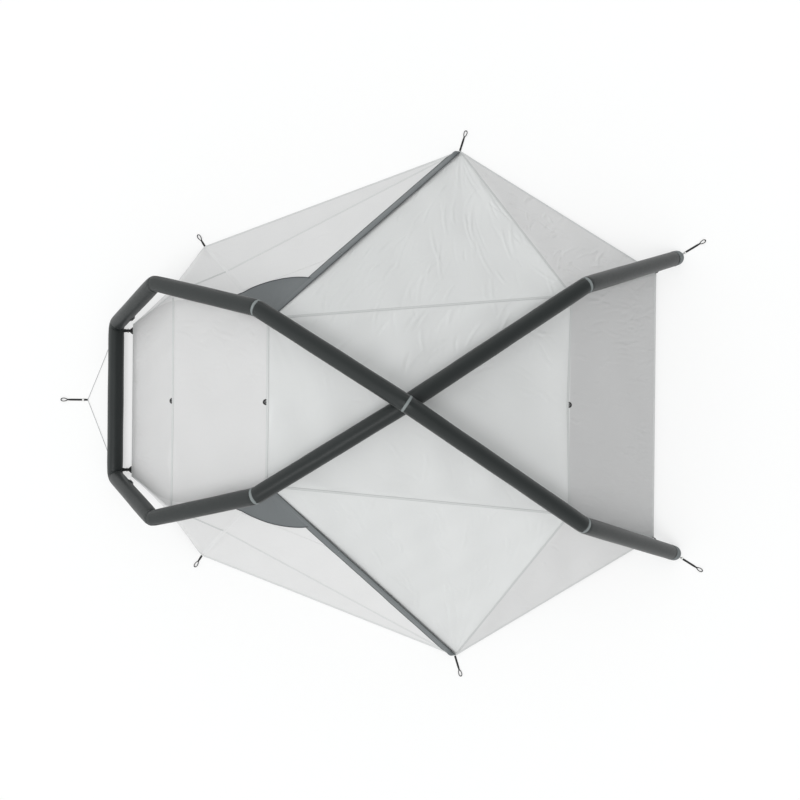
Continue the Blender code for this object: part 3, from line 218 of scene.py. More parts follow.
def makeFinish(name):
    look = finishes[name]
    finish = bpy.data.materials.new(name)
    finish.use_nodes = True
    finish.diffuse_color = (*look["colour"], 1)
    tree = finish.node_tree
    shader = tree.nodes["Principled BSDF"]
    shader.inputs["Metallic"].default_value = look.get("metal", 0.0)
    shader.inputs["Sheen Weight"].default_value = look.get("sheen", 0.0)
    shader.inputs["Specular IOR Level"].default_value = look.get("gloss", 0.5)
    spots = wire(tree, "TexCoord")
    onBody = spots.outputs["Object"]
    across, along, _ = wire(tree, "SeparateXYZ", {0: spots.outputs["UV"]}).outputs
    patches, specks = [
        wire(tree, "TexNoise", {"Vector": onBody, "Scale": surface[scale], "Detail": detail}).outputs["Fac"]
        for scale, detail in (("patchScale", 5.0), ("speckScale", 3.0))]
    mottle = calc(tree, "ADD", calc(tree, "MULTIPLY", patches, surface["patchShare"]),
                  calc(tree, "MULTIPLY", specks, surface["speckShare"]))
    swing = look["swing"]
    low = [part * (1 - swing) for part in look["colour"]] + [1.0]
    high = [min(part * (1 + swing), 0.95) for part in look["colour"]] + [1.0]
    colour = mixed(tree, mottle, low, high)
    heights = []
    if "thread" in look:
        pitch = 2 * math.pi / look["thread"]
        warp = calc(tree, "SINE", calc(tree, "MULTIPLY", across, pitch))
        weft = calc(tree, "SINE", calc(tree, "MULTIPLY", along, pitch))
        weave = calc(tree, "MULTIPLY", warp, weft)
        heights.append(calc(tree, "MULTIPLY", weave, look["threadDepth"]))
        # Painted shade: the colour is darker in the weave's hollows, where its bump is lowest
        weaveHollowShading = calc(tree, "MULTIPLY_ADD", weave, surface["weaveHollowShade"])
        weaveHollowShading.node.inputs[2].default_value = 1 - surface["weaveHollowShade"]
        colour = wire(tree, "VectorMath", {0: colour, "Scale": weaveHollowShading}, operation="SCALE").outputs[0]
    if "rib" in look:
        rib = calc(tree, "SINE", calc(tree, "MULTIPLY", along, 2 * math.pi / look["rib"]))
        heights.append(calc(tree, "MULTIPLY", rib, look["threadDepth"]))
    if "braid" in look:
        turn = calc(tree, "MULTIPLY", across, 2 * math.pi / surface["braidWidth"])
        run = calc(tree, "MULTIPLY", along, 2 * math.pi / look["braid"])
        left = calc(tree, "SINE", calc(tree, "ADD", run, turn))
        right = calc(tree, "SINE", calc(tree, "SUBTRACT", run, turn))
        braid = calc(tree, "MAXIMUM", left, right)
        heights.append(calc(tree, "MULTIPLY", braid, look["threadDepth"]))
        # Painted shade: the colour is darker in the grooves between the braid's strands, where its bump is
        # low
        dark = [part * surface["braidGrooveShade"] for part in look["colour"]] + [1.0]
        colour = mixed(tree, calc(tree, "LESS_THAN", braid, 0.1), colour, dark)
    if "grid" in look:
        lines = [stripes(tree, part, look["grid"], surface["gridLine"]) for part in (across, along)]
        ripstop = calc(tree, "MAXIMUM", *lines)
        heights.append(calc(tree, "MULTIPLY", ripstop, look["threadDepth"] * 2))
        dark = [part * surface["gridDark"] for part in look["colour"]] + [1.0]
        colour = mixed(tree, ripstop, colour, dark)
    if "creaseDepth" in look:
        folds = wire(tree, "TexNoise", {"Vector": onBody, "Scale": look["creaseScale"], "Detail": 6.0,
                                        "Roughness": 0.45, "Distortion": 0.6}).outputs["Fac"]
        heights.append(calc(tree, "MULTIPLY", folds, look["creaseDepth"]))
    if "stitchAt" in look:
        thread = stitches(tree, across, along, look["stitchAt"])
        colour = mixed(tree, thread, colour, (*look["stitchColour"], 1.0))
        heights.append(calc(tree, "MULTIPLY", thread, surface["stitchDepth"]))
    tree.links.new(colour, shader.inputs["Base Color"])
    rough = wire(tree, "MapRange", {"Value": specks, "To Min": look["rough"] - surface["roughSwing"],
                                    "To Max": look["rough"] + surface["roughSwing"]})
    tree.links.new(rough.outputs[0], shader.inputs["Roughness"])
    height = heights[0]
    for more in heights[1:]:
        height = calc(tree, "ADD", height, more)
    bump = wire(tree, "Bump", {"Height": height, "Distance": 1.0, "Strength": surface["bump"]})
    tree.links.new(bump.outputs[0], shader.inputs["Normal"])
    return finish


finishOf = {name: makeFinish(name) for name in finishes}
print("finishes ready")


# Grids, walls and swept strips

def newGrid(name, across, along):
    clearSelection()
    bpy.ops.mesh.primitive_grid_add(x_subdivisions=across, y_subdivisions=along, size=2.0)
    grid = bpy.context.object
    grid.name = grid.data.name = name
    places = np.empty(len(grid.data.vertices) * 3)
    grid.data.vertices.foreach_get("co", places)
    places = places.reshape(-1, 3)
    return grid, (places[:, 0] + 1) / 2, (places[:, 1] + 1) / 2


def layPoints(piece, places, cloth):
    mesh = piece.data
    mesh.vertices.foreach_set("co", np.ascontiguousarray(places, dtype=np.float32).ravel())
    corners = np.empty(len(mesh.loops), dtype=np.int32)
    mesh.loops.foreach_get("vertex_index", corners)
    flat = np.ascontiguousarray(cloth[corners], dtype=np.float32)
    mesh.uv_layers.active.data.foreach_set("uv", flat.ravel())
    mesh.update()


def sealMesh(piece, outward=True):
    pick(piece)
    bpy.ops.object.mode_set(mode="EDIT")
    bpy.ops.mesh.select_all(action="SELECT")
    bpy.ops.mesh.remove_doubles(threshold=0.00002)
    if outward:
        bpy.ops.mesh.normals_make_consistent(inside=False)
    bpy.ops.object.mode_set(mode="OBJECT")


def faceUp(piece):
    normals = np.empty(len(piece.data.polygons) * 3)
    piece.data.polygons.foreach_get("normal", normals)
    if normals[2::3].sum() < 0:
        pick(piece)
        bpy.ops.object.mode_set(mode="EDIT")
        bpy.ops.mesh.select_all(action="SELECT")
        bpy.ops.mesh.flip_normals()
        bpy.ops.object.mode_set(mode="OBJECT")


def giveWall(piece, thickness):
    pick(piece)
    wall = piece.modifiers.new("wall", "SOLIDIFY")
    wall.thickness = thickness
    wall.offset = -1.0
    bpy.ops.object.modifier_apply(modifier=wall.name)


def smooth(piece, degrees):
    pick(piece)
    bpy.ops.object.shade_smooth_by_angle(angle=math.radians(degrees))


def finishPiece(piece, finish, body, nodes, degrees=40.0):
    smooth(piece, degrees)
    piece.data.materials.clear()
    piece.data.materials.append(finishOf[finish])
    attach(piece, body)
    if nodes:
        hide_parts(*nodes)
    return piece


def joinPieces(pieces, name):
    pick(pieces[0])
    for piece in pieces:
        piece.select_set(True)
    bpy.ops.object.join()
    joined = bpy.context.object
    joined.name = joined.data.name = name
    return joined


def unit(rows):
    return rows / np.linalg.norm(rows, axis=-1, keepdims=True)


def runLength(path):
    steps = np.linalg.norm(np.diff(path, axis=0), axis=1)
    return np.concatenate(([0.0], np.cumsum(steps)))


def evenPath(points, count):
    points = np.array(points, float)
    runs = runLength(points)
    spots = np.linspace(0, runs[-1], count)
    return np.stack([np.interp(spots, runs, points[:, axis]) for axis in range(points.shape[1])], 1)


def sideAxes(path, hints):
    ahead = unit(np.gradient(path, axis=0))
    sides = unit(np.cross(ahead, np.broadcast_to(hints, path.shape)))
    return sides, np.cross(sides, ahead)


def sweep(name, path, hints, section, closedEnds=True):
    # The section's points are offsets sideways and upwards, one loop or one for each point of the path
    path = np.array(path, float)
    section = np.array(section, float)
    if section.ndim == 2:
        section = np.broadcast_to(section, (len(path), *section.shape)).copy()
    hints = np.broadcast_to(np.array(hints, float), path.shape)
    sides, ups = sideAxes(path, hints)
    if closedEnds:
        middles = section.mean(1, keepdims=True)
        section = np.concatenate((np.broadcast_to(middles[:1], section[:1].shape), section,
                                  np.broadcast_to(middles[-1:], section[:1].shape)))
        path, sides, ups = [np.concatenate((rows[:1], rows, rows[-1:])) for rows in (path, sides, ups)]
    rows, around = section.shape[:2]
    grid, u, v = newGrid(name, around, rows - 1)
    column = np.rint(u * around).astype(int)
    row = np.rint(v * (rows - 1)).astype(int)
    spot = section[row, column % around]
    places = path[row] + sides[row] * spot[:, :1] + ups[row] * spot[:, 1:]
    middle = section[rows // 2]
    reach = abs(middle).max(0)
    girth = runLength(np.concatenate((middle, middle[:1])))
    wide = girth[column] if reach[0] < 4 * reach[1] else spot[:, 0]
    layPoints(grid, places, np.stack((wide, runLength(path)[row]), 1))
    sealMesh(grid)
    return grid


def strapSection(width, thickness, sides=12):
    # A flat band with rounded edges
    turns = (np.arange(sides) + 0.5) * 2 * math.pi / sides
    wide, high = [np.sign(wave) * np.abs(wave) ** power
                  for wave, power in ((np.cos(turns), 0.35), (np.sin(turns), 0.6))]
    return np.stack((wide * width / 2, high * thickness / 2), 1)


def roundSection(radius, sides):
    turns = np.arange(sides) * 2 * math.pi / sides
    return np.stack((np.sin(turns), np.cos(turns)), 1) * radius


# Guy line: it lies on the same route as the solid one

guyLine = {
    "radius": 0.0015,
    "points": 76,
    "length": 0.81,
    "route": [(-1.7088, 0.3760, 0.0120), (-1.7215, 0.3440, 0.0058), (-1.7420, 0.2930, 0.0022),
              (-1.7720, 0.2160, 0.0018), (-1.8140, 0.1100, 0.0018), (-1.8510, 0.0170, 0.0018),
              (-1.8570, 0.0000, 0.0018), (-1.8510, -0.0170, 0.0018), (-1.8140, -0.1100, 0.0018),
              (-1.7720, -0.2160, 0.0018), (-1.7420, -0.2930, 0.0022), (-1.7215, -0.3440, 0.0058),
              (-1.7088, -0.3760, 0.0120)],
}


def smoothRoute(route, count):
    spots = np.array(route, float)
    spots = np.vstack((2 * spots[0] - spots[1], spots, 2 * spots[-1] - spots[-2]))
    points = []
    for place in np.linspace(0, len(route) - 1, count):
        span = min(int(place), len(route) - 2)
        share = place - span
        before, start, end, after = spots[span:span + 4]
        bend = 2 * before - 5 * start + 4 * end - after
        twist = -before + 3 * start - 3 * end + after
        points.append((2 * start + (end - before) * share + bend * share ** 2 + twist * share ** 3) / 2)
    return np.array(points)


def buildGuyLine():
    path = smoothRoute(guyLine["route"], guyLine["points"])
    cord = sweep("guyCord", path, (0, 0, 1), roundSection(guyLine["radius"], 12))
    finishPiece(cord, "guyCord", "root", ["guy_line"])
    print("guy line", round(float(runLength(path)[-1]), 4))


# Air beam: one tube from foot to foot with rounded corners, sewn from straight sleeves

beam = {
    "radius": 0.042,
    "foot": (1.620, 0.869, 0.0442),
    "knee": (0.920, 0.597, 0.76),
    "crossingHigh": (0.031, 0.0, 1.068),
    "crossingLow": (0.031, 0.0, 0.9791),
    "shoulder": (-0.694, 0.454, 0.88),
    "elbow": (-1.303, 0.621, 0.52),
    "barEnd": (-1.677, 0.447, 0.042),
    "cornerReach": {"knee": 0.026, "crossingLow": 0.035, "crossingHigh": 0.035, "shoulder": 0.024,
                    "elbow": 0.024, "barEnd": 0.037},
    "cornerSteps": 12,
    "rowLength": 0.009,
    "around": 72,
    "pinch": 0.0010,
    "pinchReach": 0.007,
    "puckerDepth": 0.0005,
    "puckerReach": 0.030,
    "puckerStart": 0.006,
    "puckers": 15,
    "innerFold": 0.0012,
    "innerFoldPitch": 0.017,
    "slack": 0.0004,
    "swell": [0.0018, 0.0006, 0.0005, 0.0010, 0.0016, 0.0024, 0.0016, 0.0010, 0.0005, 0.0006, 0.0018],
    "swellReach": 0.05,
    "wall": 0.0008,
    "tape": (0.0058, 0.0010),
    "thinTape": (0.0022, 0.0007),
    "tapeWall": 0.0009,
    "bladderDrop": 0.0022,
    "bladderSides": 32,
    "footPinch": 0.0026,
    "footPinchReach": 0.055,
    "ground": 0.0003,
    "weltTurns": [math.radians(turn) for turn in (84, 50, -50, -58, -86, 150, -86, -58, -50, 50, 84)],
    "weltWidth": 0.007,
    "weltThickness": 0.0008,
    "weltLift": 0.0003,
}

sleeveNames = ["head_leg_sleeve_left", "head_beam_sleeve_left", "shoulder_beam_sleeve_right",
               "foot_beam_sleeve_right", "foot_leg_sleeve_right", "foot_bar_sleeve",
               "foot_leg_sleeve_left", "foot_beam_sleeve_left", "shoulder_beam_sleeve_left",
               "head_beam_sleeve_right", "head_leg_sleeve_right"]


def sideOf(point, side):
    return (point[0], point[1] * side, point[2])


def beamRoute():
    # The beam's rounded centre line, with the row at which each sleeve meets the next
    keys = ["foot", "knee", "crossingLow", "shoulder", "elbow", "barEnd", "barEnd", "elbow", "shoulder",
            "crossingHigh", "knee", "foot"]
    flips = [1, 1, 1, -1, -1, -1, 1, 1, 1, 1, -1, -1]
    corners = np.array([sideOf(beam[key], flip) for key, flip in zip(keys, flips)])
    rows, meets = [corners[0]], [0]
    for index in range(1, len(corners) - 1):
        before, here, after = corners[index - 1:index + 2]
        reach = beam["cornerReach"][keys[index]]
        start = here + unit(before - here) * reach
        end = here + unit(after - here) * reach
        count = max(2, round(float(np.linalg.norm(start - rows[-1])) / beam["rowLength"]))
        rows += list(np.linspace(rows[-1], start, count + 1)[1:])
        for step in range(1, beam["cornerSteps"] + 1):
            share = step / beam["cornerSteps"]
            rows.append(start * (1 - share) ** 2 + 2 * here * share * (1 - share) + end * share ** 2)
            if 2 * step == beam["cornerSteps"]:
                meets.append(len(rows) - 1)
    count = round(float(np.linalg.norm(corners[-1] - rows[-1])) / beam["rowLength"])
    rows += list(np.linspace(rows[-1], corners[-1], count + 1)[1:])
    meets.append(len(rows) - 1)
    return np.array(rows), meets


beamPath, beamMeets = beamRoute()
beamRuns = runLength(beamPath)
beamSides, beamUps = sideAxes(beamPath, np.array([0.0, 0.0, 1.0]))


def beamSection(first, last, lift=0.0, around=beam["around"], plain=False):
    # Rows of the tube's outline, with puckers at its seams and folds inside its corners
    turns = np.arange(around) * 2 * math.pi / around
    radius = np.full((last - first + 1, around), beam["radius"] + lift)
    runs = beamRuns[first:last + 1]
    if not plain:
        sleeve = np.clip(np.searchsorted(beamMeets, np.arange(first, last + 1), side="right") - 1, 0, 10)
        away = np.abs(runs[:, None] - beamRuns[beamMeets[1:-1]][None]).min(1)
        radius += (np.array(beam["swell"])[sleeve] * (1 - np.exp(-(away / beam["swellReach"]) ** 2)))[:, None]
        foot = np.minimum(runs, beamRuns[-1] - runs)
        radius -= beam["footPinch"] * np.exp(-(foot / beam["footPinchReach"]) ** 4)[:, None]
        curl = np.gradient(unit(np.gradient(beamPath, axis=0)), beamRuns, axis=0)[first:last + 1]
        inward = (beamSides[first:last + 1, None] * np.sin(turns)[None, :, None]
                  + beamUps[first:last + 1, None] * np.cos(turns)[None, :, None])
        hollow = np.clip((inward * curl[:, None]).sum(2) / 12.0, 0, 1)
        for index, meet in enumerate(beamMeets[1:-1]):
            away = np.abs(runs - beamRuns[meet])[:, None]
            radius -= beam["pinch"] * np.exp(-(away / beam["pinchReach"]) ** 2)
            fade = np.exp(-away / beam["puckerReach"])
            ease = 1 - np.exp(-(away / beam["puckerStart"]) ** 2)
            radius += beam["puckerDepth"] * np.cos(beam["puckers"] * turns + index)[None] * fade * ease
            fold = np.cos(2 * math.pi * away / beam["innerFoldPitch"])
            radius += beam["innerFold"] * hollow * fold
        radius += beam["slack"] * (np.sin(runs / 0.071)[:, None] * np.sin(turns * 2 + 0.8)[None]
                                   + 0.6 * np.sin(runs / 0.043 + 1.0)[:, None] * np.sin(turns * 3)[None])
    return np.stack((np.sin(turns)[None] * radius, np.cos(turns)[None] * radius), 2)


def beamPart(name, first, last, section, closedEnds=False):
    part = sweep(name, beamPath[first:last + 1], (0, 0, 1), section, closedEnds)
    spots = np.empty(len(part.data.vertices) * 3, dtype=np.float32)
    part.data.vertices.foreach_get("co", spots)
    spots[2::3] = np.maximum(spots[2::3], beam["ground"])  # the tube rests flat on the ground
    part.data.vertices.foreach_set("co", spots)
    return part


def buildBeam():
    for index, node in enumerate(sleeveNames):
        first, last = beamMeets[index], beamMeets[index + 1]
        sleeve = beamPart(node.replace("sleeve", "tube"), first, last, beamSection(first, last))
        giveWall(sleeve, beam["wall"])
        finishPiece(sleeve, "beamCloth", "root", [node], 60)
    welts = []
    for index in range(len(sleeveNames)):
        first, last = beamMeets[index], beamMeets[index + 1]
        turn = beam["weltTurns"][index]
        rows = slice(first + 1, last)
        lean = beamSides[rows] * math.sin(turn) + beamUps[rows] * math.cos(turn)
        path = beamPath[rows] + lean * (beam["radius"] + beam["weltLift"])
        welts.append(sweep("welt", path, lean, strapSection(beam["weltWidth"], beam["weltThickness"], 8)))
    finishPiece(joinPieces(welts, "beamWelts"), "beamWelt", "root", ())

    bands = {"knee_band_left": 1, "shoulder_band_right": 3, "shoulder_band_left": 8, "crossing_band": 9,
             "knee_band_right": 10}
    for node, meet in bands.items():
        ring = beamRing(node.replace("band", "ring"), beamMeets[meet], *beam["tape"])
        finishPiece(ring, "seamTape", "root", [node])
    thin = [beamRing("thin", beamMeets[meet], *beam["thinTape"]) for meet in (4, 5, 6, 7, 2)]
    finishPiece(joinPieces(thin, "cornerWelts"), "beamWelt", "root", ())

    half = beamMeets[5] + (beamMeets[6] - beamMeets[5]) // 2
    for side, first, last in (("right", 0, half), ("left", half + 1, len(beamPath) - 1)):
        section = beamSection(first, last, -beam["bladderDrop"], beam["bladderSides"], plain=True)
        ends = np.minimum(np.arange(last - first + 1), np.arange(last - first, -1, -1))
        section *= np.sqrt(np.clip(ends / 4.0, 0.02, 1))[:, None, None]
        tube = beamPart("airTube_" + side, first, last, section, closedEnds=True)
        finishPiece(tube, "bladderFilm", "root", ["bladder_" + side], 60)
    print("beam ready")


def beamRing(name, meet, half, lift):
    # A strip of tape round the beam, with rolled edges, where two sleeves meet
    steps = 9
    across = np.linspace(-half, half, steps)
    rows = np.stack([np.interp(beamRuns[meet] + across, beamRuns, beamPath[:, axis]) for axis in range(3)], 1)
    rise = lift * np.sqrt(np.clip(1 - (across / half) ** 4, 0, 1)) + 0.0001
    turns = np.arange(beam["around"]) * 2 * math.pi / beam["around"]
    radius = (beam["radius"] - 0.0003 + rise)[:, None] * np.ones_like(turns)[None]
    section = np.stack((np.sin(turns)[None] * radius, np.cos(turns)[None] * radius), 2)
    ring = sweep(name, rows, (0, 0, 1), section, closedEnds=False)
    spots = ring.data.uv_layers.active.data
    swap = np.empty(len(spots) * 2, dtype=np.float32)
    spots.foreach_get("uv", swap)
    swap = swap.reshape(-1, 2)
    spots.foreach_set("uv", np.ascontiguousarray(np.stack((swap[:, 1] - half, swap[:, 0]), 1)).ravel())
    giveWall(ring, beam["tapeWall"])
    return ring


def frameAt(origin, ahead, hint):
    ahead = Vector(ahead).normalized()
    side = Vector(hint).cross(ahead).normalized()
    turn = Matrix((ahead, side, ahead.cross(side))).transposed().to_4x4()
    return Matrix.Translation(Vector(origin)) @ turn


def turnPiece(name, profile, place, sides=48):
    # Turns pairs of radius and height about the place's Z axis
    profile = np.array(profile, float)
    grid, u, v = newGrid(name, sides, len(profile) - 1)
    row = np.rint(v * (len(profile) - 1)).astype(int)
    turn = u * 2 * math.pi
    places = np.stack((profile[row, 0] * np.cos(turn), profile[row, 0] * np.sin(turn), profile[row, 1]), 1)
    matrix = np.array(place)
    places = places @ matrix[:3, :3].T + matrix[:3, 3]
    layPoints(grid, places, np.stack((turn * profile[:, 0].max(), runLength(profile)[row]), 1))
    sealMesh(grid)
    return grid


footCap = {"radius": 0.0433, "length": 0.040, "wall": 0.0012, "innerWall": 0.0009, "steps": 14,
           "brim": [(0.0004, 0.001), (0.0010, -0.002), (0.0002, -0.006)]}
valve = {"share": 0.29, "lean": 0.5, "flange": 0.0195, "seat": 0.0423, "cap": 0.0155}


def buildFootCaps():
    for side, name in ((1, "left"), (-1, "right")):
        foot = Vector(sideOf(beam["foot"], side))
        upLeg = (Vector(sideOf(beam["knee"], side)) - foot).normalized()
        place = frameAt(foot, Vector((0, 0, 1)).cross(upLeg), upLeg)
        outer, long = footCap["radius"], footCap["length"]
        within = outer - footCap["wall"]
        arc = [math.pi / 2 * step / footCap["steps"] for step in range(footCap["steps"] + 1)]
        profile = [(outer + out, long + up) for out, up in footCap["brim"]]
        profile += [(outer + 0.0002, 0.020), (outer, 0.008)]
        profile += [(outer * math.cos(turn) ** 0.92, -outer * math.sin(turn)) for turn in arc]
        profile += [(max(0.0, within * math.cos(turn)), -within * math.sin(turn)) for turn in reversed(arc)]
        profile += [(outer - footCap["innerWall"], height) for height in (0.020, long)] + [profile[0]]
        cap = turnPiece("footCup_" + name, profile, place, 72)
        finishPiece(cap, "capRipstop", "root", ["foot_cap_" + name], 50)
    print("foot caps ready")


def buildValves():
    for side, name in ((1, "left"), (-1, "right")):
        barEnd, elbow = [Vector(sideOf(beam[key], side)) for key in ("barEnd", "elbow")]
        upLeg = (elbow - barEnd).normalized()
        level = (upLeg.cross(Vector((0, 0, 1))) * side).normalized()
        under = level.cross(upLeg).normalized()
        if under.z > 0:
            under = -under
        out = (level + under * valve["lean"]).normalized()
        place = frameAt(barEnd.lerp(elbow, valve["share"]), upLeg, out)
        low, rim = valve["seat"], valve["flange"]
        profile = [(0.0055, low + 0.0038), (0.0075, low + 0.0040), (0.0090, low + 0.0034),
                   (0.0128, low + 0.0032), (0.0138, low + 0.0034), (rim - 0.0012, low + 0.0031),
                   (rim - 0.0003, low + 0.0024), (rim, low + 0.0013), (rim - 0.0005, low + 0.0002),
                   (0.0080, low), (0.0080, low - 0.0088), (0.0, low - 0.0088), (0.0, low - 0.0055),
                   (0.0055, low - 0.0055), (0.0055, low + 0.0038)]
        body = turnPiece("valveSeat_" + name, profile, place)
        finishPiece(body, "blackPlastic", "root", ["valve_body_" + name])
        top = low + 0.0043
        cap = valve["cap"]
        profile = [(0.0, top + 0.0036), (0.0070, top + 0.0036), (0.0078, top + 0.0042),
                   (0.0112, top + 0.0042), (0.0120, top + 0.0034), (cap - 0.0014, top + 0.0034),
                   (cap - 0.0004, top + 0.0028), (cap, top + 0.0018), (cap - 0.0003, top),
                   (0.0, top)]
        lid = turnPiece("valveLid_" + name, profile, place)
        finishPiece(lid, "blackPlastic", "valve_cap_" + name, ["valve_cap_" + name])
    print("valves ready")


# Fly: its height over the ground is worked out once, then each sewn panel is laid on it

fly = {
    "points": {
        "footCorner": (-1.586, 0.446, 0.020), "footSeam": (-1.223, 0.576, 0.456),
        "shoulder": (-0.653, 0.4125, 0.810), "peak": (0.031, 0.0, 0.9256), "knee": (0.866, 0.555, 0.690),
        "headCorner": (1.511, 0.783, 0.020), "side": (0.342, 1.502, 0.0023), "rear": (-1.170, 0.920, 0.0023),
        "hemMiddle": (-1.352, 0.660, 0.046), "footMiddle": (-1.586, 0.0, 0.020),
        "footSeamMiddle": (-1.223, 0.0, 0.445), "shoulderMiddle": (-0.653, 0.0, 0.798),
        "kneeMiddle": (0.852, 0.0, 0.682), "headMiddle": (1.511, 0.0, 0.020),
    },
    "foldShare": 0.608,
    "doorTopShare": 0.34,
    "gridStep": 0.005,
    "low": (-1.76, -1.60),
    "high": (1.70, 1.60),
    "softNear": 2.0,
    "softFar": 11.0,
    "sag": 0.018,
    "sagReach": 0.11,
    "wall": 0.0009,
    "spacing": 0.0066,
    "creaseLift": 3.6,
    "creaseWidths": (0.0060, 0.0098),
    "hingeHold": 0.014,
    "lowest": 0.0016,
    "waveHeight": 0.0014,
    "rearHem": [(-1.1700, 0.9200), (-1.2106, 0.8507), (-1.2544, 0.7843), (-1.3016, 0.7208), (-1.3519, 0.6601),
                (-1.4056, 0.6023), (-1.4624, 0.5473), (-1.5226, 0.4952), (-1.5860, 0.4460)],
}
flyPoint = {key: np.array(place) for key, place in fly["points"].items()}
flyPoint["fold"] = flyPoint["shoulder"] + (flyPoint["rear"] - flyPoint["shoulder"]) * fly["foldShare"]
flyPoint["hingeTop"] = flyPoint["shoulder"] + (flyPoint["rear"] - flyPoint["shoulder"]) * fly["doorTopShare"]
flyPoint["zipTop"] = flyPoint["shoulder"] + (flyPoint["side"] - flyPoint["shoulder"]) * fly["doorTopShare"]
flyNet = ["footMiddle footSeamMiddle footSeam footCorner", "footSeamMiddle shoulderMiddle shoulder footSeam",
          "shoulderMiddle peak shoulder", "shoulder peak knee", "peak kneeMiddle knee",
          "kneeMiddle headMiddle headCorner knee", "knee headCorner side", "shoulder knee side",
          "shoulder side hingeTop", "hingeTop side fold", "shoulder hingeTop fold footSeam",
          "side fold rear", "fold rear footSeam", "rear hemMiddle footSeam", "hemMiddle footCorner footSeam"]
flyLines = ["footCorner footSeam", "footSeam shoulder", "shoulder knee", "knee headCorner", "knee side",
            "shoulder side", "footSeam fold", "fold side", "side rear", "rear hemMiddle",
            "hemMiddle footCorner", "headCorner side", "footCorner footMiddle", "footSeam footSeamMiddle",
            "shoulder shoulderMiddle", "knee kneeMiddle", "headCorner headMiddle", "hingeTop rear"]


def soften(field, cells):
    reach = int(3 * cells)
    weights = np.exp(-0.5 * (np.arange(-reach, reach + 1) / cells) ** 2)
    weights /= weights.sum()
    for axis in (0, 1):
        edges = [(reach, reach) if side == axis else (0, 0) for side in (0, 1)]
        wide = np.pad(field, edges, mode="reflect", reflect_type="odd")
        size = field.shape[axis]
        field = sum(weight * np.take(wide, range(step, step + size), axis)
                    for step, weight in enumerate(weights))
    return field


def netHeight(x, y):
    best = np.full(x.shape, -1e9)
    height = np.zeros(x.shape)
    for names in flyNet:
        points = [flyPoint[key] for key in names.split()]
        for middle in range(1, len(points) - 1):
            a, b, c = points[0], points[middle], points[middle + 1]
            area = (b[0] - a[0]) * (c[1] - a[1]) - (c[0] - a[0]) * (b[1] - a[1])
            for side in (1, -1):
                yy = y * side
                second = ((x - a[0]) * (c[1] - a[1]) - (c[0] - a[0]) * (yy - a[1])) / area
                third = ((b[0] - a[0]) * (yy - a[1]) - (x - a[0]) * (b[1] - a[1])) / area
                inside = np.minimum(np.minimum(1 - second - third, second), third)
                nearer = inside > best
                value = a[2] + (b[2] - a[2]) * second + (c[2] - a[2]) * third
                height = np.where(nearer, value, height)
                best = np.where(nearer, inside, best)
    return height


def lineReach(x, y):
    # A soft distance to the nearest seam or hem
    pull = np.zeros(x.shape)
    for names in flyLines:
        a, b = [flyPoint[key][:2] for key in names.split()]
        for side in (1, -1):
            yy = y * side
            run = b - a
            share = np.clip(((x - a[0]) * run[0] + (yy - a[1]) * run[1]) / (run @ run), 0, 1)
            away = (x - a[0] - share * run[0]) ** 2 + (yy - a[1] - share * run[1]) ** 2
            pull += 1 / (away + 1e-6)
    return 1 / np.sqrt(pull)


def addCrease(field, start, end, height, width):
    start, end = np.array(start), np.array(end)
    margin = 5 * width
    low = np.floor((np.minimum(start, end) - margin - fly["low"]) / fly["gridStep"]).astype(int)
    high = np.ceil((np.maximum(start, end) + margin - fly["low"]) / fly["gridStep"]).astype(int)
    low, high = np.maximum(low, 0), np.minimum(high, field.shape)
    if (high <= low).any():
        return
    x = fly["low"][0] + np.arange(low[0], high[0])[:, None] * fly["gridStep"]
    y = fly["low"][1] + np.arange(low[1], high[1])[None] * fly["gridStep"]
    run = end - start
    length = np.linalg.norm(run)
    along = ((x - start[0]) * run[0] + (y - start[1]) * run[1]) / length ** 2
    bow = 0.05 * length * np.sin(math.pi * np.clip(along, 0, 1))
    away = ((x - start[0]) * -run[1] + (y - start[1]) * run[0]) / length - bow
    taper = np.sin(math.pi * np.clip(along, 0, 1)) ** 0.8
    shape = np.exp(-(away / width) ** 2) - 0.45 * np.exp(-(away / (2.1 * width)) ** 2)
    field[low[0]:high[0], low[1]:high[1]] += height * taper * shape


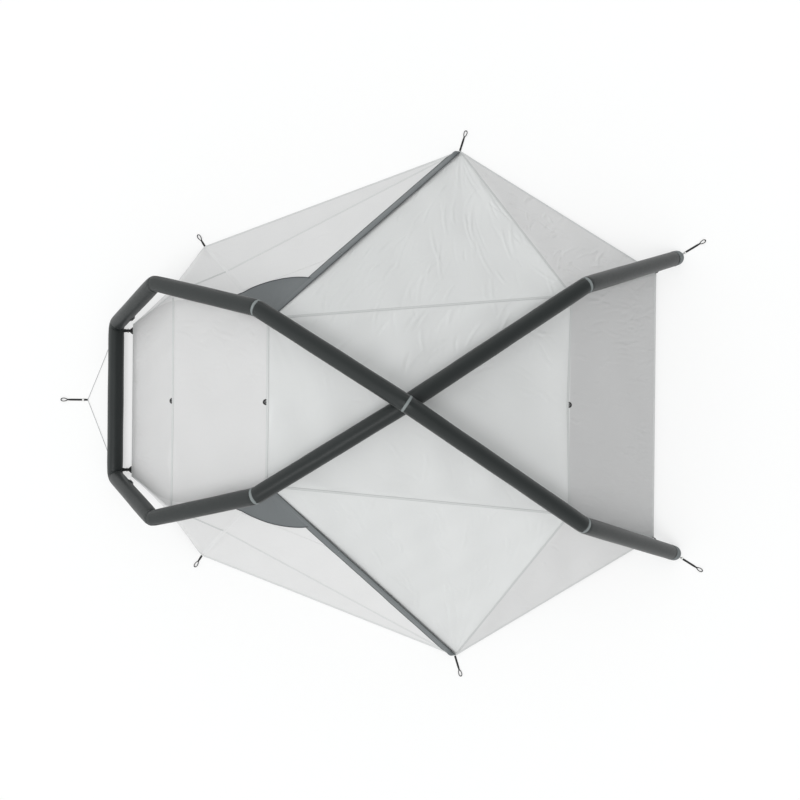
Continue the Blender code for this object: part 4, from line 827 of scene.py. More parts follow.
# Creases: the triangle they lie in and its side, how many, the shortest and longest, the point or
# the heading in degrees that they run to, how far they stray from it, and their height
creases = [
    ("shoulder knee side", 1, 105, (0.06, 0.30), "side", 0.30, 0.0011),
    ("shoulder knee side", -1, 60, (0.06, 0.26), "side", 0.30, 0.0005),
    ("knee headCorner side", 1, 95, (0.04, 0.16), 28, 0.50, 0.0016),
    ("knee headCorner side", -1, 45, (0.04, 0.16), 28, 0.50, 0.0005),
    ("knee headCorner headMiddle", 1, 90, (0.05, 0.20), 10, 0.24, 0.0012),
    ("kneeMiddle knee headMiddle", 1, 26, (0.05, 0.20), 6, 0.24, 0.0007),
    ("knee headCorner headMiddle", -1, 90, (0.05, 0.20), 10, 0.24, 0.0011),
    ("kneeMiddle knee headMiddle", -1, 22, (0.05, 0.20), 6, 0.24, 0.0006),
    ("peak knee shoulder", 1, 40, (0.06, 0.24), 62, 0.30, 0.0009),
    ("shoulder shoulderMiddle peak", 1, 8, (0.05, 0.15), -40, 0.40, 0.0004),
    ("peak knee kneeMiddle", 1, 22, (0.06, 0.22), -20, 0.40, 0.0007),
    ("peak knee shoulder", -1, 18, (0.06, 0.20), 62, 0.40, 0.0004),
    ("footSeam shoulder shoulderMiddle", 1, 34, (0.04, 0.14), -38, 0.50, 0.0006),
    ("footSeam shoulderMiddle footSeamMiddle", 1, 22, (0.05, 0.16), -8, 0.40, 0.0005),
    ("footSeam shoulder shoulderMiddle", -1, 22, (0.04, 0.14), -30, 0.50, 0.0004),
    ("footCorner footSeam footMiddle", 1, 34, (0.03, 0.10), 12, 0.40, 0.0005),
    ("footCorner footSeam footMiddle", -1, 30, (0.03, 0.10), 12, 0.40, 0.0005),
    ("side hingeTop rear", 1, 26, (0.08, 0.30), "side", 0.20, 0.0005),
    ("side hingeTop rear", -1, 26, (0.08, 0.30), "side", 0.20, 0.0005),
    ("rear footSeam shoulder", 1, 18, (0.05, 0.20), "rear", 0.30, 0.0005),
    ("rear footSeam shoulder", -1, 18, (0.05, 0.20), "rear", 0.30, 0.0005),
]
# Folds that spread from a peg or a corner: how many round a whole turn, their height and reach
pegFolds = [("side", 23, 0.0016, 0.38), ("rear", 19, 0.0013, 0.22), ("footCorner", 21, 0.0010, 0.16),
            ("headCorner", 19, 0.0014, 0.24), ("knee", 17, 0.0006, 0.25), ("shoulder", 17, 0.0005, 0.25)]


def flyRelief():
    x = np.arange(fly["low"][0], fly["high"][0], fly["gridStep"])[:, None]
    y = np.arange(fly["low"][1], fly["high"][1], fly["gridStep"])[None]
    x, y = np.broadcast_arrays(x, y)
    plain = netHeight(x, y)
    reach = lineReach(x, y)
    blend = np.clip((reach - 0.03) / 0.10, 0, 1)
    blend = blend * blend * (3 - 2 * blend)
    field = soften(plain, fly["softNear"]) * (1 - blend) + soften(plain, fly["softFar"]) * blend
    field = field - fly["sag"] * (1 - np.exp(-(reach / fly["sagReach"]) ** 2))
    loose = 1 - np.exp(-(reach / 0.02) ** 2)
    for key, folds, height, fade in pegFolds:
        for side in (1, -1):
            run = np.hypot(x - flyPoint[key][0], y - side * flyPoint[key][1])
            turn = np.arctan2(y - side * flyPoint[key][1], x - flyPoint[key][0])
            wave = np.cos(folds * turn + side) + 0.6 * np.cos(1.7 * folds * turn + 2.0)
            strength = height * np.exp(-run / fade) * np.clip(run / 0.08, 0, 1) * loose
            field = field + strength * wave * (1.0 if side > 0 else 0.5)
    for step in range(9):
        heading = dice.uniform(0, math.pi)
        pitch = dice.uniform(0.14, 0.42)
        wave = np.sin((x * math.cos(heading) + y * math.sin(heading)) * 2 * math.pi / pitch + step)
        field = field + fly["waveHeight"] * wave * loose
    marks = np.zeros(field.shape)
    for triangle, flip, count, lengths, aim, stray, rise in creases:
        a, b, c = [flyPoint[key][:2] * (1, flip) for key in triangle.split()]
        for _ in range(count):
            first, second = sorted((dice.random(), dice.random()))
            middle = a * first + b * (second - first) + c * (1 - second)
            if isinstance(aim, str):
                target = flyPoint[aim][:2] * (1, flip)
                heading = math.atan2(*(target - middle)[::-1])
            else:
                heading = math.radians(aim) * flip
            heading += dice.gauss(0, stray)
            half = dice.uniform(*lengths) / 2
            run = np.array((math.cos(heading), math.sin(heading))) * half
            height = fly["creaseLift"] * rise * dice.choice((1, 1, -1)) * dice.uniform(0.4, 1.5)
            addCrease(marks, middle - run, middle + run, height, dice.uniform(*fly["creaseWidths"]))
    field = field + marks * (1 - np.exp(-(reach / 0.012) ** 2))
    top, low = flyPoint["hingeTop"], flyPoint["rear"]
    run = low[:2] - top[:2]
    for side in (1, -1):  # the doors turn on a straight line
        yy = y * side
        share = ((x - top[0]) * run[0] + (yy - top[1]) * run[1]) / (run @ run)
        share = np.clip(share, 0, 1)
        away = np.hypot(x - top[0] - share * run[0], yy - top[1] - share * run[1])
        hold = np.exp(-(away / fly["hingeHold"]) ** 2)
        field = field * (1 - hold) + (top[2] + (low[2] - top[2]) * share) * hold
    return field


flyField = flyRelief()
print("fly relief ready")


def flyHeight(x, y):
    column = (x - fly["low"][0]) / fly["gridStep"]
    row = (y - fly["low"][1]) / fly["gridStep"]
    i = np.clip(column.astype(int), 0, flyField.shape[0] - 2)
    j = np.clip(row.astype(int), 0, flyField.shape[1] - 2)
    s, t = column - i, row - j
    height = (flyField[i, j] * (1 - s) * (1 - t) + flyField[i + 1, j] * s * (1 - t)
              + flyField[i, j + 1] * (1 - s) * t + flyField[i + 1, j + 1] * s * t)
    return np.maximum(height, fly["lowest"])


def planOf(key, side=1):
    return flyPoint[key][:2] * (1, side)


def clothArea(piece):
    areas = np.empty(len(piece.data.polygons))
    piece.data.polygons.foreach_get("area", areas)
    return float(areas.sum()) / 2


def layPanel(name, corners, hem=None):
    # A sewn panel as a grid between four plan points. hem bends its second side
    a, b, c, d = [np.array(corner) for corner in corners]
    wide = max(np.linalg.norm(b - a), np.linalg.norm(c - d))
    tall = max(np.linalg.norm(d - a), np.linalg.norm(c - b))
    across, along = [max(4, math.ceil(size / fly["spacing"])) for size in (wide, tall)]
    panel, u, v = newGrid(name, across, along)
    u, v = u[:, None], v[:, None]
    plan = (a * (1 - u) + b * u) * (1 - v) + (d * (1 - u) + c * u) * v
    if hem is not None:
        curve = evenPath(hem, along + 1)
        step = np.rint(v[:, 0] * along).astype(int)
        plan = plan + u * (curve[step] - (b * (1 - v) + c * v))
    places = np.column_stack((plan, flyHeight(plan[:, 0], plan[:, 1])))
    layPoints(panel, places, plan)
    sealMesh(panel, outward=False)
    faceUp(panel)
    giveWall(panel, fly["wall"])
    return panel


def insetPlan(corner, towardA, towardB, fromA, fromB):
    alongA, alongB = unit(towardA - corner), unit(towardB - corner)
    sine = abs(alongA[0] * alongB[1] - alongA[1] * alongB[0])
    return corner + alongA * fromB / sine + alongB * fromA / sine


def drawBack(first, second, gap):
    return first + unit(second - first) * gap


flyTape = {"seam": 0.0125, "crossSeam": 0.0135, "doorSeam": 0.010, "hem": 0.014, "hemShift": 0.0065,
           "rearHem": 0.013, "rearShift": 0.006, "sideGap": 0.010, "foldGap": 0.006, "rearGap": 0.006,
           "backing": 0.014, "backingDrop": 0.0024, "lift": 0.0012, "crown": 0.0003, "wall": 0.0009}


def flyStrip(name, points, width, shift=0.0, lift=flyTape["lift"], crown=flyTape["crown"]):
    # A strip of tape along a plan line, laid on the fly
    length = runLength(np.array(points))[-1]
    along = max(3, math.ceil(length / 0.012))
    path = evenPath(points, along + 1)
    ahead = unit(np.gradient(path, axis=0))
    strip, u, v = newGrid(name, 6, along)
    step = np.rint(v * along).astype(int)
    offset = (u - 0.5) * width + shift
    plan = path[step] + np.stack((-ahead[step, 1], ahead[step, 0]), 1) * offset[:, None]
    rise = lift + crown * (1 - (2 * u - 1) ** 2)
    height = np.maximum(flyHeight(plan[:, 0], plan[:, 1]) + rise, flyTape["wall"] + 0.0002)
    layPoints(strip, np.column_stack((plan, height)), np.stack(((u - 0.5) * width, runLength(path)[step]), 1))
    faceUp(strip)
    giveWall(strip, flyTape["wall"])
    return strip


# The finish each sheet takes; the others take flyCloth
# Painted light and painted shade: the sheets below take lighter and darker copies of the fly cloth
flyCloths = {"flyRearSide": "flyClothPaintedLight", "flyDoorTop": "flyClothPaintedLight", "flyHeadSide": "flyClothPaintedLight",
             "flyFootRoof": "flyClothPaintedShade", "flyFootEnd": "flyClothPaintedShade", "flyHeadEnd": "flyClothPaintedDeepShade"}


def buildFly():
    left = {key: planOf(key) for key in flyPoint}
    right = {key: planOf(key, -1) for key in flyPoint}
    sheets = [
        ("flyRoofMiddle", "", [right["shoulder"], left["shoulder"], left["knee"], right["knee"]], None),
        ("flyFootRoof", "", [right["footSeam"], left["footSeam"], left["shoulder"], right["shoulder"]], None),
        ("flyFootEnd", "", [right["footCorner"], left["footCorner"], left["footSeam"], right["footSeam"]],
         None),
        ("flyHeadEnd", "", [right["knee"], left["knee"], left["headCorner"], right["headCorner"]], None),
    ]
    for side, name, at in ((1, "_left", left), (-1, "_right", right)):
        hem = np.array(fly["rearHem"]) * (1, side)
        sheets += [
            ("flyFrontSide", name, [at["shoulder"], at["knee"], at["side"], at["side"]], None),
            ("flyHeadSide", name, [at["side"], at["headCorner"], at["knee"], at["knee"]], None),
            ("flyRearSide", name, [at["shoulder"], at["rear"], at["footCorner"], at["footSeam"]], hem),
            ("flyDoorTop", name, [at["zipTop"], at["hingeTop"], at["shoulder"], at["shoulder"]], None),
        ]
    for kind, name, corners, hem in sheets:
        panel = layPanel(kind + name, corners, hem)
        area = clothArea(panel)
        finishPiece(panel, flyCloths.get(kind, "flyCloth"), "root", ["fly_canopy"], 50)

    seams, hems = [], []
    for near in ("footSeam", "shoulder", "knee"):
        middle = planOf(near + "Middle")
        seams.append(flyStrip("seam", [right[near], middle, left[near]], flyTape["crossSeam"]))
    hemWide, hemShift = flyTape["hem"], flyTape["hemShift"]
    hems.append(flyStrip("hem", [right["footCorner"], left["footCorner"]], hemWide, -hemShift))
    hems.append(flyStrip("hem", [right["headCorner"], left["headCorner"]], hemWide, hemShift))
    for side, at in ((1, left), (-1, right)):
        for first, second in (("footCorner", "footSeam"), ("footSeam", "shoulder"), ("shoulder", "knee"),
                              ("knee", "headCorner")):
            seams.append(flyStrip("seam", [at[first], at[second]], flyTape["seam"]))
        # Drawn back from the corners, to leave room for the peg loop and the door
        sideEnd = drawBack(at["side"], at["knee"], flyTape["sideGap"])
        foldEnd = drawBack(at["fold"], at["footSeam"], flyTape["foldGap"])
        seams.append(flyStrip("seam", [at["knee"], sideEnd], flyTape["seam"]))
        seams.append(flyStrip("seam", [at["footSeam"], foldEnd], flyTape["doorSeam"]))
        for first, second in (("zipTop", "hingeTop"), ("hingeTop", "rear")):  # backs the door's top and hinge
            seams.append(flyStrip("backing", [at[first], at[second]], flyTape["backing"],
                                  lift=-flyTape["backingDrop"], crown=0.0))
        hem = np.array(fly["rearHem"]) * (1, side)
        hem[0] = drawBack(hem[0], hem[1], flyTape["rearGap"])
        hems.append(flyStrip("hem", hem, flyTape["rearHem"], flyTape["rearShift"] * side))
        hems.append(flyStrip("hem", [at["headCorner"], at["side"]], hemWide, hemShift * side))
    finishPiece(joinPieces(seams, "flySeams"), "flySeam", "root", ())
    finishPiece(joinPieces(hems, "flyHems"), "flyHem", "root", ())
    print("fly ready")


flyDoor = {"hingeGap": 0.0003, "topGap": 0.0012, "zipGap": 0.0075, "foldStart": 0.010, "foldEnd": 0.060,
           "hemEnd": 0.008}
stormFlap = {"start": 0.010, "full": 0.085, "attached": 0.031, "over": -0.012, "height": 0.0175,
             "seat": 0.0020, "flutter": 0.0009, "bulge": 0.0020, "hump": 0.0160, "humpAt": 0.044,
             "humpReach": 0.026, "wall": 0.0010, "endGap": 0.0012, "trimLength": 0.520, "trimEnd": 0.55,
             "edge": 0.0006}


def zipRun(side):
    # Plan start and heading of the zip line, the way over the door, and the line's length
    low, top = planOf("side", side), planOf("shoulder", side)
    length = float(np.linalg.norm(flyPoint["side"] - flyPoint["shoulder"]))
    ahead = (top - low) / length
    across = unit(np.array((-ahead[1], ahead[0])))
    if across @ (planOf("rear", side) - low) < 0:
        across = -across
    return low, ahead, across, length


def flapStrip(name, side, start, end, shares=(0, 1), lift=0.0, wall=stormFlap["wall"], steps=14):
    # A slanted strip over the zip, between two shares of its width from the sewn edge to the free one
    low, ahead, across, length = zipRun(side)
    along = math.ceil((end - start) / 0.010)
    strip, u, v = newGrid(name, steps, along)
    run = start + (end - start) * v
    door = length * (1 - fly["doorTopShare"])
    share = shares[0] + (shares[1] - shares[0]) * u
    widest = stormFlap["attached"] - stormFlap["over"]
    opened = np.clip((run - stormFlap["start"]) / stormFlap["full"], 0, 1)
    narrow = np.clip(0.12 + 0.88 * np.sqrt(opened), 0, 1)
    tail = np.clip((run - door) / stormFlap["trimLength"], 0, 1)
    narrow = narrow * (1 - (1 - stormFlap["trimEnd"]) * tail ** 3)
    wide = stormFlap["over"] + widest * narrow * (1 - share)
    ease = share * share * (3 - 2 * share)
    hump = stormFlap["hump"] * np.exp(-((run - stormFlap["humpAt"]) / stormFlap["humpReach"]) ** 2)
    seat = stormFlap["seat"]
    rise = seat + (stormFlap["height"] - seat) * ease + stormFlap["bulge"] * np.sin(math.pi * share)
    rise = rise * np.clip(1.15 - tail, 0, 1)
    flutter = stormFlap["flutter"] * np.sin(run / 0.055 + 3 * share) * ease
    plan = low + ahead * run[:, None] + across * wide[:, None]
    height = flyHeight(plan[:, 0], plan[:, 1]) + rise + flutter + lift
    part = shares[1] - shares[0]
    cloth = np.stack((u * widest * part - widest * part / 2, run), 1)
    out = np.array(zipFrame(side))[:3, 2]
    room = hump * np.sin(math.pi * share ** 0.8)  # for the raised zip pull
    layPoints(strip, np.column_stack((plan, height)) + out * room[:, None], cloth)
    faceUp(strip)
    giveWall(strip, wall)
    return strip


def flapEdges(name, side, start, end, body):
    edges = [flapStrip("edge", side, start, end, shares, stormFlap["edge"], stormFlap["edge"], 4)
             for shares in ((0.005, 0.10), (0.90, 0.995))]
    return finishPiece(joinPieces(edges, name), "trimBinding", body, ())


def buildDoors():
    for side, name in ((1, "left"), (-1, "right")):
        at = {key: planOf(key, side) for key in flyPoint}
        corners = [
            insetPlan(at["side"], at["zipTop"], at["rear"], flyDoor["zipGap"], 0.0),
            insetPlan(at["rear"], at["hingeTop"], at["side"], flyDoor["hingeGap"], 0.0),
            insetPlan(at["hingeTop"], at["zipTop"], at["rear"], flyDoor["topGap"], flyDoor["hingeGap"]),
            insetPlan(at["zipTop"], at["side"], at["hingeTop"], flyDoor["zipGap"], flyDoor["topGap"]),
        ]
        door = layPanel("flyDoorSheet_" + name, corners)
        area = clothArea(door)
        body = "fly_door_" + name
        # The door takes the lighter copy of the fly cloth: painted light
        finishPiece(door, "flyClothPaintedLight", body, [body], 50)
        hemEnd = drawBack(corners[1], corners[0], flyDoor["hemEnd"])
        foldStart = drawBack(at["fold"], at["side"], flyDoor["foldStart"])
        foldEnd = drawBack(at["side"], at["fold"], flyDoor["foldEnd"])
        hems = [flyStrip("hem", [corners[0], hemEnd], flyTape["hem"], flyTape["hemShift"] * side),
                flyStrip("fold", [foldStart, foldEnd], flyTape["doorSeam"])]
        doorHems = finishPiece(joinPieces(hems, "doorHems_" + name), "flyHem", body, ())
        top = zipRun(side)[3] * (1 - fly["doorTopShare"])
        start, end = stormFlap["start"], top - stormFlap["endGap"]
        flap = flapStrip("stormFlap_" + name, side, start, end)
        flapArea = clothArea(flap)
        finishPiece(flap, "darkTrim", body, ["storm_flap_" + name])
        binding = flapEdges("flapBinding_" + name, side, start, end, body)

        start, end = top + 0.0004, top + stormFlap["trimLength"]
        trim = flapStrip("trimBand_" + name, side, start, end)
        trimArea = clothArea(trim)
        finishPiece(trim, "darkTrim", "root", ["vent_hood_" + name])
        binding = flapEdges("trimBinding_" + name, side, start, end, "root")
    print("doors ready")


ventHood = {"reach": 0.342, "apex": 0.035, "lift": 0.022, "seat": 0.0019, "power": 1.5, "spread": 0.97,
            "across": 56, "along": 26, "wall": 0.0010, "bindingPoints": 70, "bindingWidth": 0.007,
            "bindingWall": 0.0022}


def hoodPlaces(share, reach, side, lift=0.0):
    # Points of the hood at a share of its spread and a distance from the shoulder
    shoulder = Vector(flyPoint["shoulder"])
    lines = [(Vector(flyPoint[key]) - shoulder).normalized() for key in ("side", "rear", "footSeam")]
    overDoor = lines[0].angle(lines[1])
    whole = overDoor + lines[1].angle(lines[2])
    places = []
    for part, run in zip(share, reach):
        turn = whole * ventHood["spread"] * part
        first, second = lines[:2] if turn < overDoor else lines[1:]
        turn = turn if turn < overDoor else turn - overDoor
        ahead = (second - first * second.dot(first)).normalized()
        place = shoulder + (first * math.cos(turn) + ahead * math.sin(turn)) * run
        places.append((place.x, place.y * side))
    places = np.array(places)
    rise = (reach / ventHood["reach"]) ** ventHood["power"] * np.sin(math.pi * share)
    height = flyHeight(places[:, 0], places[:, 1]) + ventHood["seat"] + ventHood["lift"] * rise + lift
    return np.column_stack((places, height))


def buildHoods():
    for side, name in ((1, "left"), (-1, "right")):
        hood, u, v = newGrid("ventHood_" + name, ventHood["across"], ventHood["along"])
        reach = ventHood["apex"] + (ventHood["reach"] - ventHood["apex"]) * v
        places = hoodPlaces(u, reach, side)
        layPoints(hood, places, places[:, :2])
        faceUp(hood)
        giveWall(hood, ventHood["wall"])
        area = clothArea(hood)
        finishPiece(hood, "darkTrim", "root", ["vent_hood_" + name])
        shares = np.linspace(0.004, 0.996, ventHood["bindingPoints"])
        reach = np.full(ventHood["bindingPoints"], ventHood["reach"] - 0.002)
        rim = hoodPlaces(shares, reach, side, 0.0002)
        section = strapSection(ventHood["bindingWidth"], ventHood["bindingWall"])
        binding = sweep("hoodBinding_" + name, rim, (0, 0, 1), section)
        finishPiece(binding, "trimBinding", "root", ())
    print("hoods ready")


# Zips: tape, teeth, slider and pull

zipper = {"middle": 0.0036, "toothPitch": 0.0032, "toothWidth": 0.0034, "toothLength": 0.0015,
          "toothLap": 0.0006, "tapeHalf": 0.0029, "rest": 0.045, "endGap": 0.012, "seat": 0.0009,
          "sliderLength": 0.014, "sliderWidth": 0.0105, "sliderHeight": 0.0046, "plate": 0.0016,
          "bridgeHalf": 0.0016, "pullLength": 0.0125, "pullWidth": 0.006, "pullWire": 0.0014}


def zipFrame(side):
    low = Vector(flyPoint["side"])
    upZip = (Vector(flyPoint["shoulder"]) - low).normalized()
    over = Vector(flyPoint["fold"]) - low
    over = (over - upZip * over.dot(upZip)).normalized()
    out = upZip.cross(over)
    if out.z < 0:
        out = -out
    turn = Matrix((upZip, over, out)).transposed().to_4x4()
    return Matrix.Diagonal((1, side, 1, 1)) @ Matrix.Translation(low) @ turn


def zipPlaces(side, spots):
    place = np.array(zipFrame(side))
    return np.array(spots, float) @ place[:3, :3].T + place[:3, 3]


def bevelledBlock(name, low, high, side, bevel, segments=2):
    # A block in the zip's own axes, with its edges bevelled
    clearSelection()
    bpy.ops.mesh.primitive_cube_add(size=1.0)
    block = bpy.context.object
    block.name = block.data.name = name
    low, high = np.array(low), np.array(high)
    spots = np.array([vert.co for vert in block.data.vertices]) * (high - low) + (low + high) / 2
    block.data.vertices.foreach_set("co", zipPlaces(side, spots).astype(np.float32).ravel())
    edge = block.modifiers.new("edge", "BEVEL")
    edge.width = bevel
    edge.segments = segments
    pick(block)
    bpy.ops.object.modifier_apply(modifier=edge.name)
    sealMesh(block)
    return block


def zipBlock(name, block, side):
    low, high, bevel = block
    low, high = [(along, zipper["middle"] + across, up) for along, across, up in (low, high)]
    return bevelledBlock(name, low, high, side, bevel)


def buildZips():
    length = zipRun(1)[3] * (1 - fly["doorTopShare"])
    middle, gap, lap = zipper["middle"], zipper["endGap"], zipper["toothLap"]
    for side, name in ((1, "left"), (-1, "right")):
        parts = []
        upZip = np.array(zipFrame(side))[:3, 0]
        for row in (-1, 1):  # one tooth of each row, then copies up the zip
            start = gap + (0 if row < 0 else zipper["toothPitch"] / 2)
            near = middle - (zipper["toothWidth"] - lap if row < 0 else lap)
            end = (start + zipper["toothLength"], near + zipper["toothWidth"], 0.0005)
            tooth = bevelledBlock("tooth", (start, near, -0.0010), end, side, 0.0004, 1)
            rowOf = tooth.modifiers.new("row", "ARRAY")
            rowOf.count = int((length - 2 * gap) / zipper["toothPitch"]) - 1
            rowOf.use_relative_offset = False
            rowOf.use_constant_offset = True
            rowOf.constant_offset_displace = [float(part) * zipper["toothPitch"] for part in upZip]
            pick(tooth)
            bpy.ops.object.modifier_apply(modifier=rowOf.name)
            parts.append(tooth)
        half = zipper["tapeHalf"]
        low, high = (gap, middle - half, -0.0019), (length - gap, middle + half, -0.0009)
        parts.append(bevelledBlock("tape", low, high, side, 0.0003))
        chain = joinPieces(parts, "zipTeeth_" + name)
        finishPiece(chain, "zipTape", "root", ["zip_chain_" + name], 30)

        # Slider: a plate, two posts and a bridge over them
        near, far = zipper["rest"], zipper["rest"] + zipper["sliderLength"]
        half, bar = zipper["sliderWidth"] / 2, zipper["bridgeHalf"]
        seat = zipper["seat"]
        high = seat + zipper["sliderHeight"]
        blocks = [((near, -half, seat), (far, half, seat + zipper["plate"]), 0.0006),
                  ((near + 0.002, -bar, seat + 0.0014), (near + 0.0045, bar, high), 0.0004),
                  ((far - 0.0045, -bar, seat + 0.0014), (far - 0.002, bar, high), 0.0004),
                  ((near + 0.002, -bar, high - 0.0013), (far - 0.002, bar, high), 0.0004)]
        slider = joinPieces([zipBlock("runner", block, side) for block in blocks], "zipRunner_" + name)
        finishPiece(slider, "zipMetal", "zip_slider_" + name, ["zip_slider_" + name], 30)

        # Pull: a tab on a bail of three bars
        top = seat + 0.0023
        low, high = top - 0.0011, top - 0.0001
        half, bar = zipper["pullWidth"] / 2, zipper["pullWire"]
        end = near - 0.0003
        root = end - 0.0002
        blocks = [((end - zipper["pullLength"], -half, top - 0.0012), (end - 0.006, half, top), 0.0005),
                  ((end - 0.0065, -half, low), (root, -half + bar, high), 0.0004),
                  ((end - 0.0065, half - bar, low), (root, half, high), 0.0004),
                  ((end - 0.0016, -half, low), (root, half, high), 0.0004)]
        pull = joinPieces([zipBlock("pull", block, side) for block in blocks], "zipTab_" + name)
        finishPiece(pull, "zipMetal", "zip_pull_" + name, ["zip_pull_" + name], 30)
    print("zips ready")


# Inner tent and groundsheet

inner = {
    "foot": (-1.270, 0.420), "head": (1.270, 0.620), "base": 0.0026,
    "footTop": (-1.080, 0.400, 0.420), "shoulder": (-0.620, 0.360, 0.740), "knee": (0.800, 0.480, 0.620),
    "peak": (0.031, 0.0, 0.8656), "doorStart": 0.28, "doorEnd": 0.84, "doorSill": 0.14, "doorTop": 0.78,
    "wall": 0.0008, "easing": 14, "doorGap": 0.0022, "doorBelly": 0.004, "tapeWidth": 0.012,
    "margin": 0.010, "floorWall": 0.0012,
}


def innerFloor(x):
    (footX, footY), (headX, headY) = inner["foot"], inner["head"]
    return np.array((x, footY + (headY - footY) * (x - footX) / (headX - footX), inner["base"]))


def innerWall(along, up):
    low = innerFloor(inner["shoulder"][0]) * (1 - along) + innerFloor(inner["knee"][0]) * along
    high = np.array(inner["shoulder"]) * (1 - along) + np.array(inner["knee"]) * along
    return low * (1 - up) + high * up


innerPanels = ["footLow shoulderLow shoulder footTop", "shoulderLow startLow startSill shoulder",
               "startSill startLintel startHigh shoulder", "startLow endLow endSill startSill",
               "startLintel endLintel endHigh startHigh", "endLow kneeLow knee endSill",
               "endSill knee endHigh endLintel", "kneeLow headLow knee",
               "footLowMiddle footLow footTop footTopMiddle", "footTopMiddle footTop shoulder shoulderMiddle",
               "shoulderMiddle shoulder peak", "shoulder startHigh peak", "startHigh endHigh peak",
               "endHigh knee peak", "peak knee kneeMiddle", "kneeMiddle knee headLow headLowMiddle"]


def buildInnerTent():
    points = {"footLow": innerFloor(inner["foot"][0]), "footTop": np.array(inner["footTop"]),
              "shoulderLow": innerWall(0, 0), "shoulder": np.array(inner["shoulder"]),
              "kneeLow": innerWall(1, 0), "knee": np.array(inner["knee"]),
              "headLow": innerFloor(inner["head"][0]), "peak": np.array(inner["peak"])}
    for key in ("footLow", "footTop", "shoulder", "knee", "headLow"):
        points[key + "Middle"] = points[key] * (1, 0, 1)
    for key, along in (("start", inner["doorStart"]), ("end", inner["doorEnd"])):
        for part, up in (("Low", 0.0), ("Sill", inner["doorSill"]), ("Lintel", inner["doorTop"]),
                         ("High", 1.0)):
            points[key + part] = innerWall(along, up)
    names = list(points)
    places, faces = [], []
    for side in (1, -1):
        shift = len(places)
        places += [tuple(points[key] * (1, side, 1)) for key in names]
        faces += [[shift + names.index(key) for key in panel.split()][::side] for panel in innerPanels]
    mesh = bpy.data.meshes.new("innerTent")
    mesh.from_pydata(places, [], faces)
    canopy = bpy.data.objects.new("innerTent", mesh)
    bpy.context.scene.collection.objects.link(canopy)
    sealMesh(canopy, outward=False)
    pick(canopy)
    bpy.ops.object.mode_set(mode="EDIT")
    bpy.ops.mesh.select_all(action="SELECT")
    bpy.ops.mesh.quads_convert_to_tris()
    bpy.ops.mesh.subdivide(number_cuts=5)
    bpy.ops.mesh.subdivide(number_cuts=3)
    bpy.ops.mesh.select_all(action="DESELECT")
    bpy.ops.mesh.select_mode(type="VERT")
    bpy.ops.mesh.select_non_manifold(extend=False)
    bpy.ops.mesh.select_all(action="INVERT")
    for _ in range(inner["easing"]):
        bpy.ops.mesh.vertices_smooth(factor=0.5)
    bpy.ops.object.mode_set(mode="OBJECT")
    count = len(canopy.data.vertices)
    spots = np.empty(count * 3, dtype=np.float32)
    canopy.data.vertices.foreach_get("co", spots)
    spots = spots.reshape(-1, 3)
    canopy.data.uv_layers.new(name="UVMap")
    layPoints(canopy, spots, spots[:, :2] + spots[:, 2:] * 0.7)
    faceUp(canopy)
    giveWall(canopy, inner["wall"])
    area = clothArea(canopy)
    finishPiece(canopy, "innerCloth", "root", ["inner_canopy"], 60)
    tab = sweep("peakTab", [(0.031, 0, 0.862), (0.031, 0, 0.88), (0.031, 0, 0.905), (0.031, 0, 0.9215)],
                (0, 1, 0), strapSection(0.024, 0.002))
    finishPiece(tab, "webbing", "root", ())

    for side, name in ((1, "left"), (-1, "right")):
        low, high = inner["doorSill"] + 0.001, inner["doorTop"] - 0.0055
        start, end = inner["doorStart"] + inner["doorGap"], inner["doorEnd"] - inner["doorGap"]
        door, u, v = newGrid("innerDoorSheet_" + name, 80, 44)
        along, up = start + (end - start) * u, low + (high - low) * v
        places = np.array([innerWall(*spot) for spot in zip(along, up)]) * (1, side, 1)
        bulge = np.sin(math.pi * u) * np.sin(math.pi * v)
        places[:, 1] -= side * inner["doorBelly"] * bulge
        layPoints(door, places, np.stack((u * 0.80, v * 0.48), 1))
        faceUp(door)
        giveWall(door, inner["wall"])
        area = clothArea(door)
        body = "inner_door_" + name
        finishPiece(door, "innerMesh", body, [body])
        start, end, low, high = start + 0.004, end - 0.004, low + 0.012, high - 0.012
        rim = [innerWall(*spot) * (1, side, 1) for spot in
               ((start, low), (end, low), (end, high), (start, high), (start, low))]
        section = strapSection(inner["tapeWidth"], 0.0016)
        edges = [sweep("edge", evenPath(rim[step:step + 2], 30), (0, side, 0.2), section)
                 for step in range(4)]
        tape = finishPiece(joinPieces(edges, "innerDoorTape_" + name), "zipTape", body, ())

    sheet, u, v = newGrid("groundCloth", 120, 60)
    (footX, footY), (headX, headY) = inner["foot"], inner["head"]
    x = footX - inner["margin"] + (headX - footX + 2 * inner["margin"]) * u
    half = footY + (headY - footY) * u + inner["margin"]
    y = (2 * v - 1) * half
    ease = np.minimum(np.minimum(u, 1 - u), np.minimum(v, 1 - v))
    ripple = 0.0004 * (1 + np.sin(x / 0.06 + np.sin(y / 0.09))) * np.clip(ease / 0.03, 0, 1)
    layPoints(sheet, np.column_stack((x, y, inner["floorWall"] + ripple)), np.stack((x, y), 1))
    faceUp(sheet)
    giveWall(sheet, inner["floorWall"] * 0.9)
    area = clothArea(sheet)
    finishPiece(sheet, "floorCloth", "root", ["groundsheet"])
    print("inner tent ready")


# Webbing: hangers, corner straps, peg loops and tabs

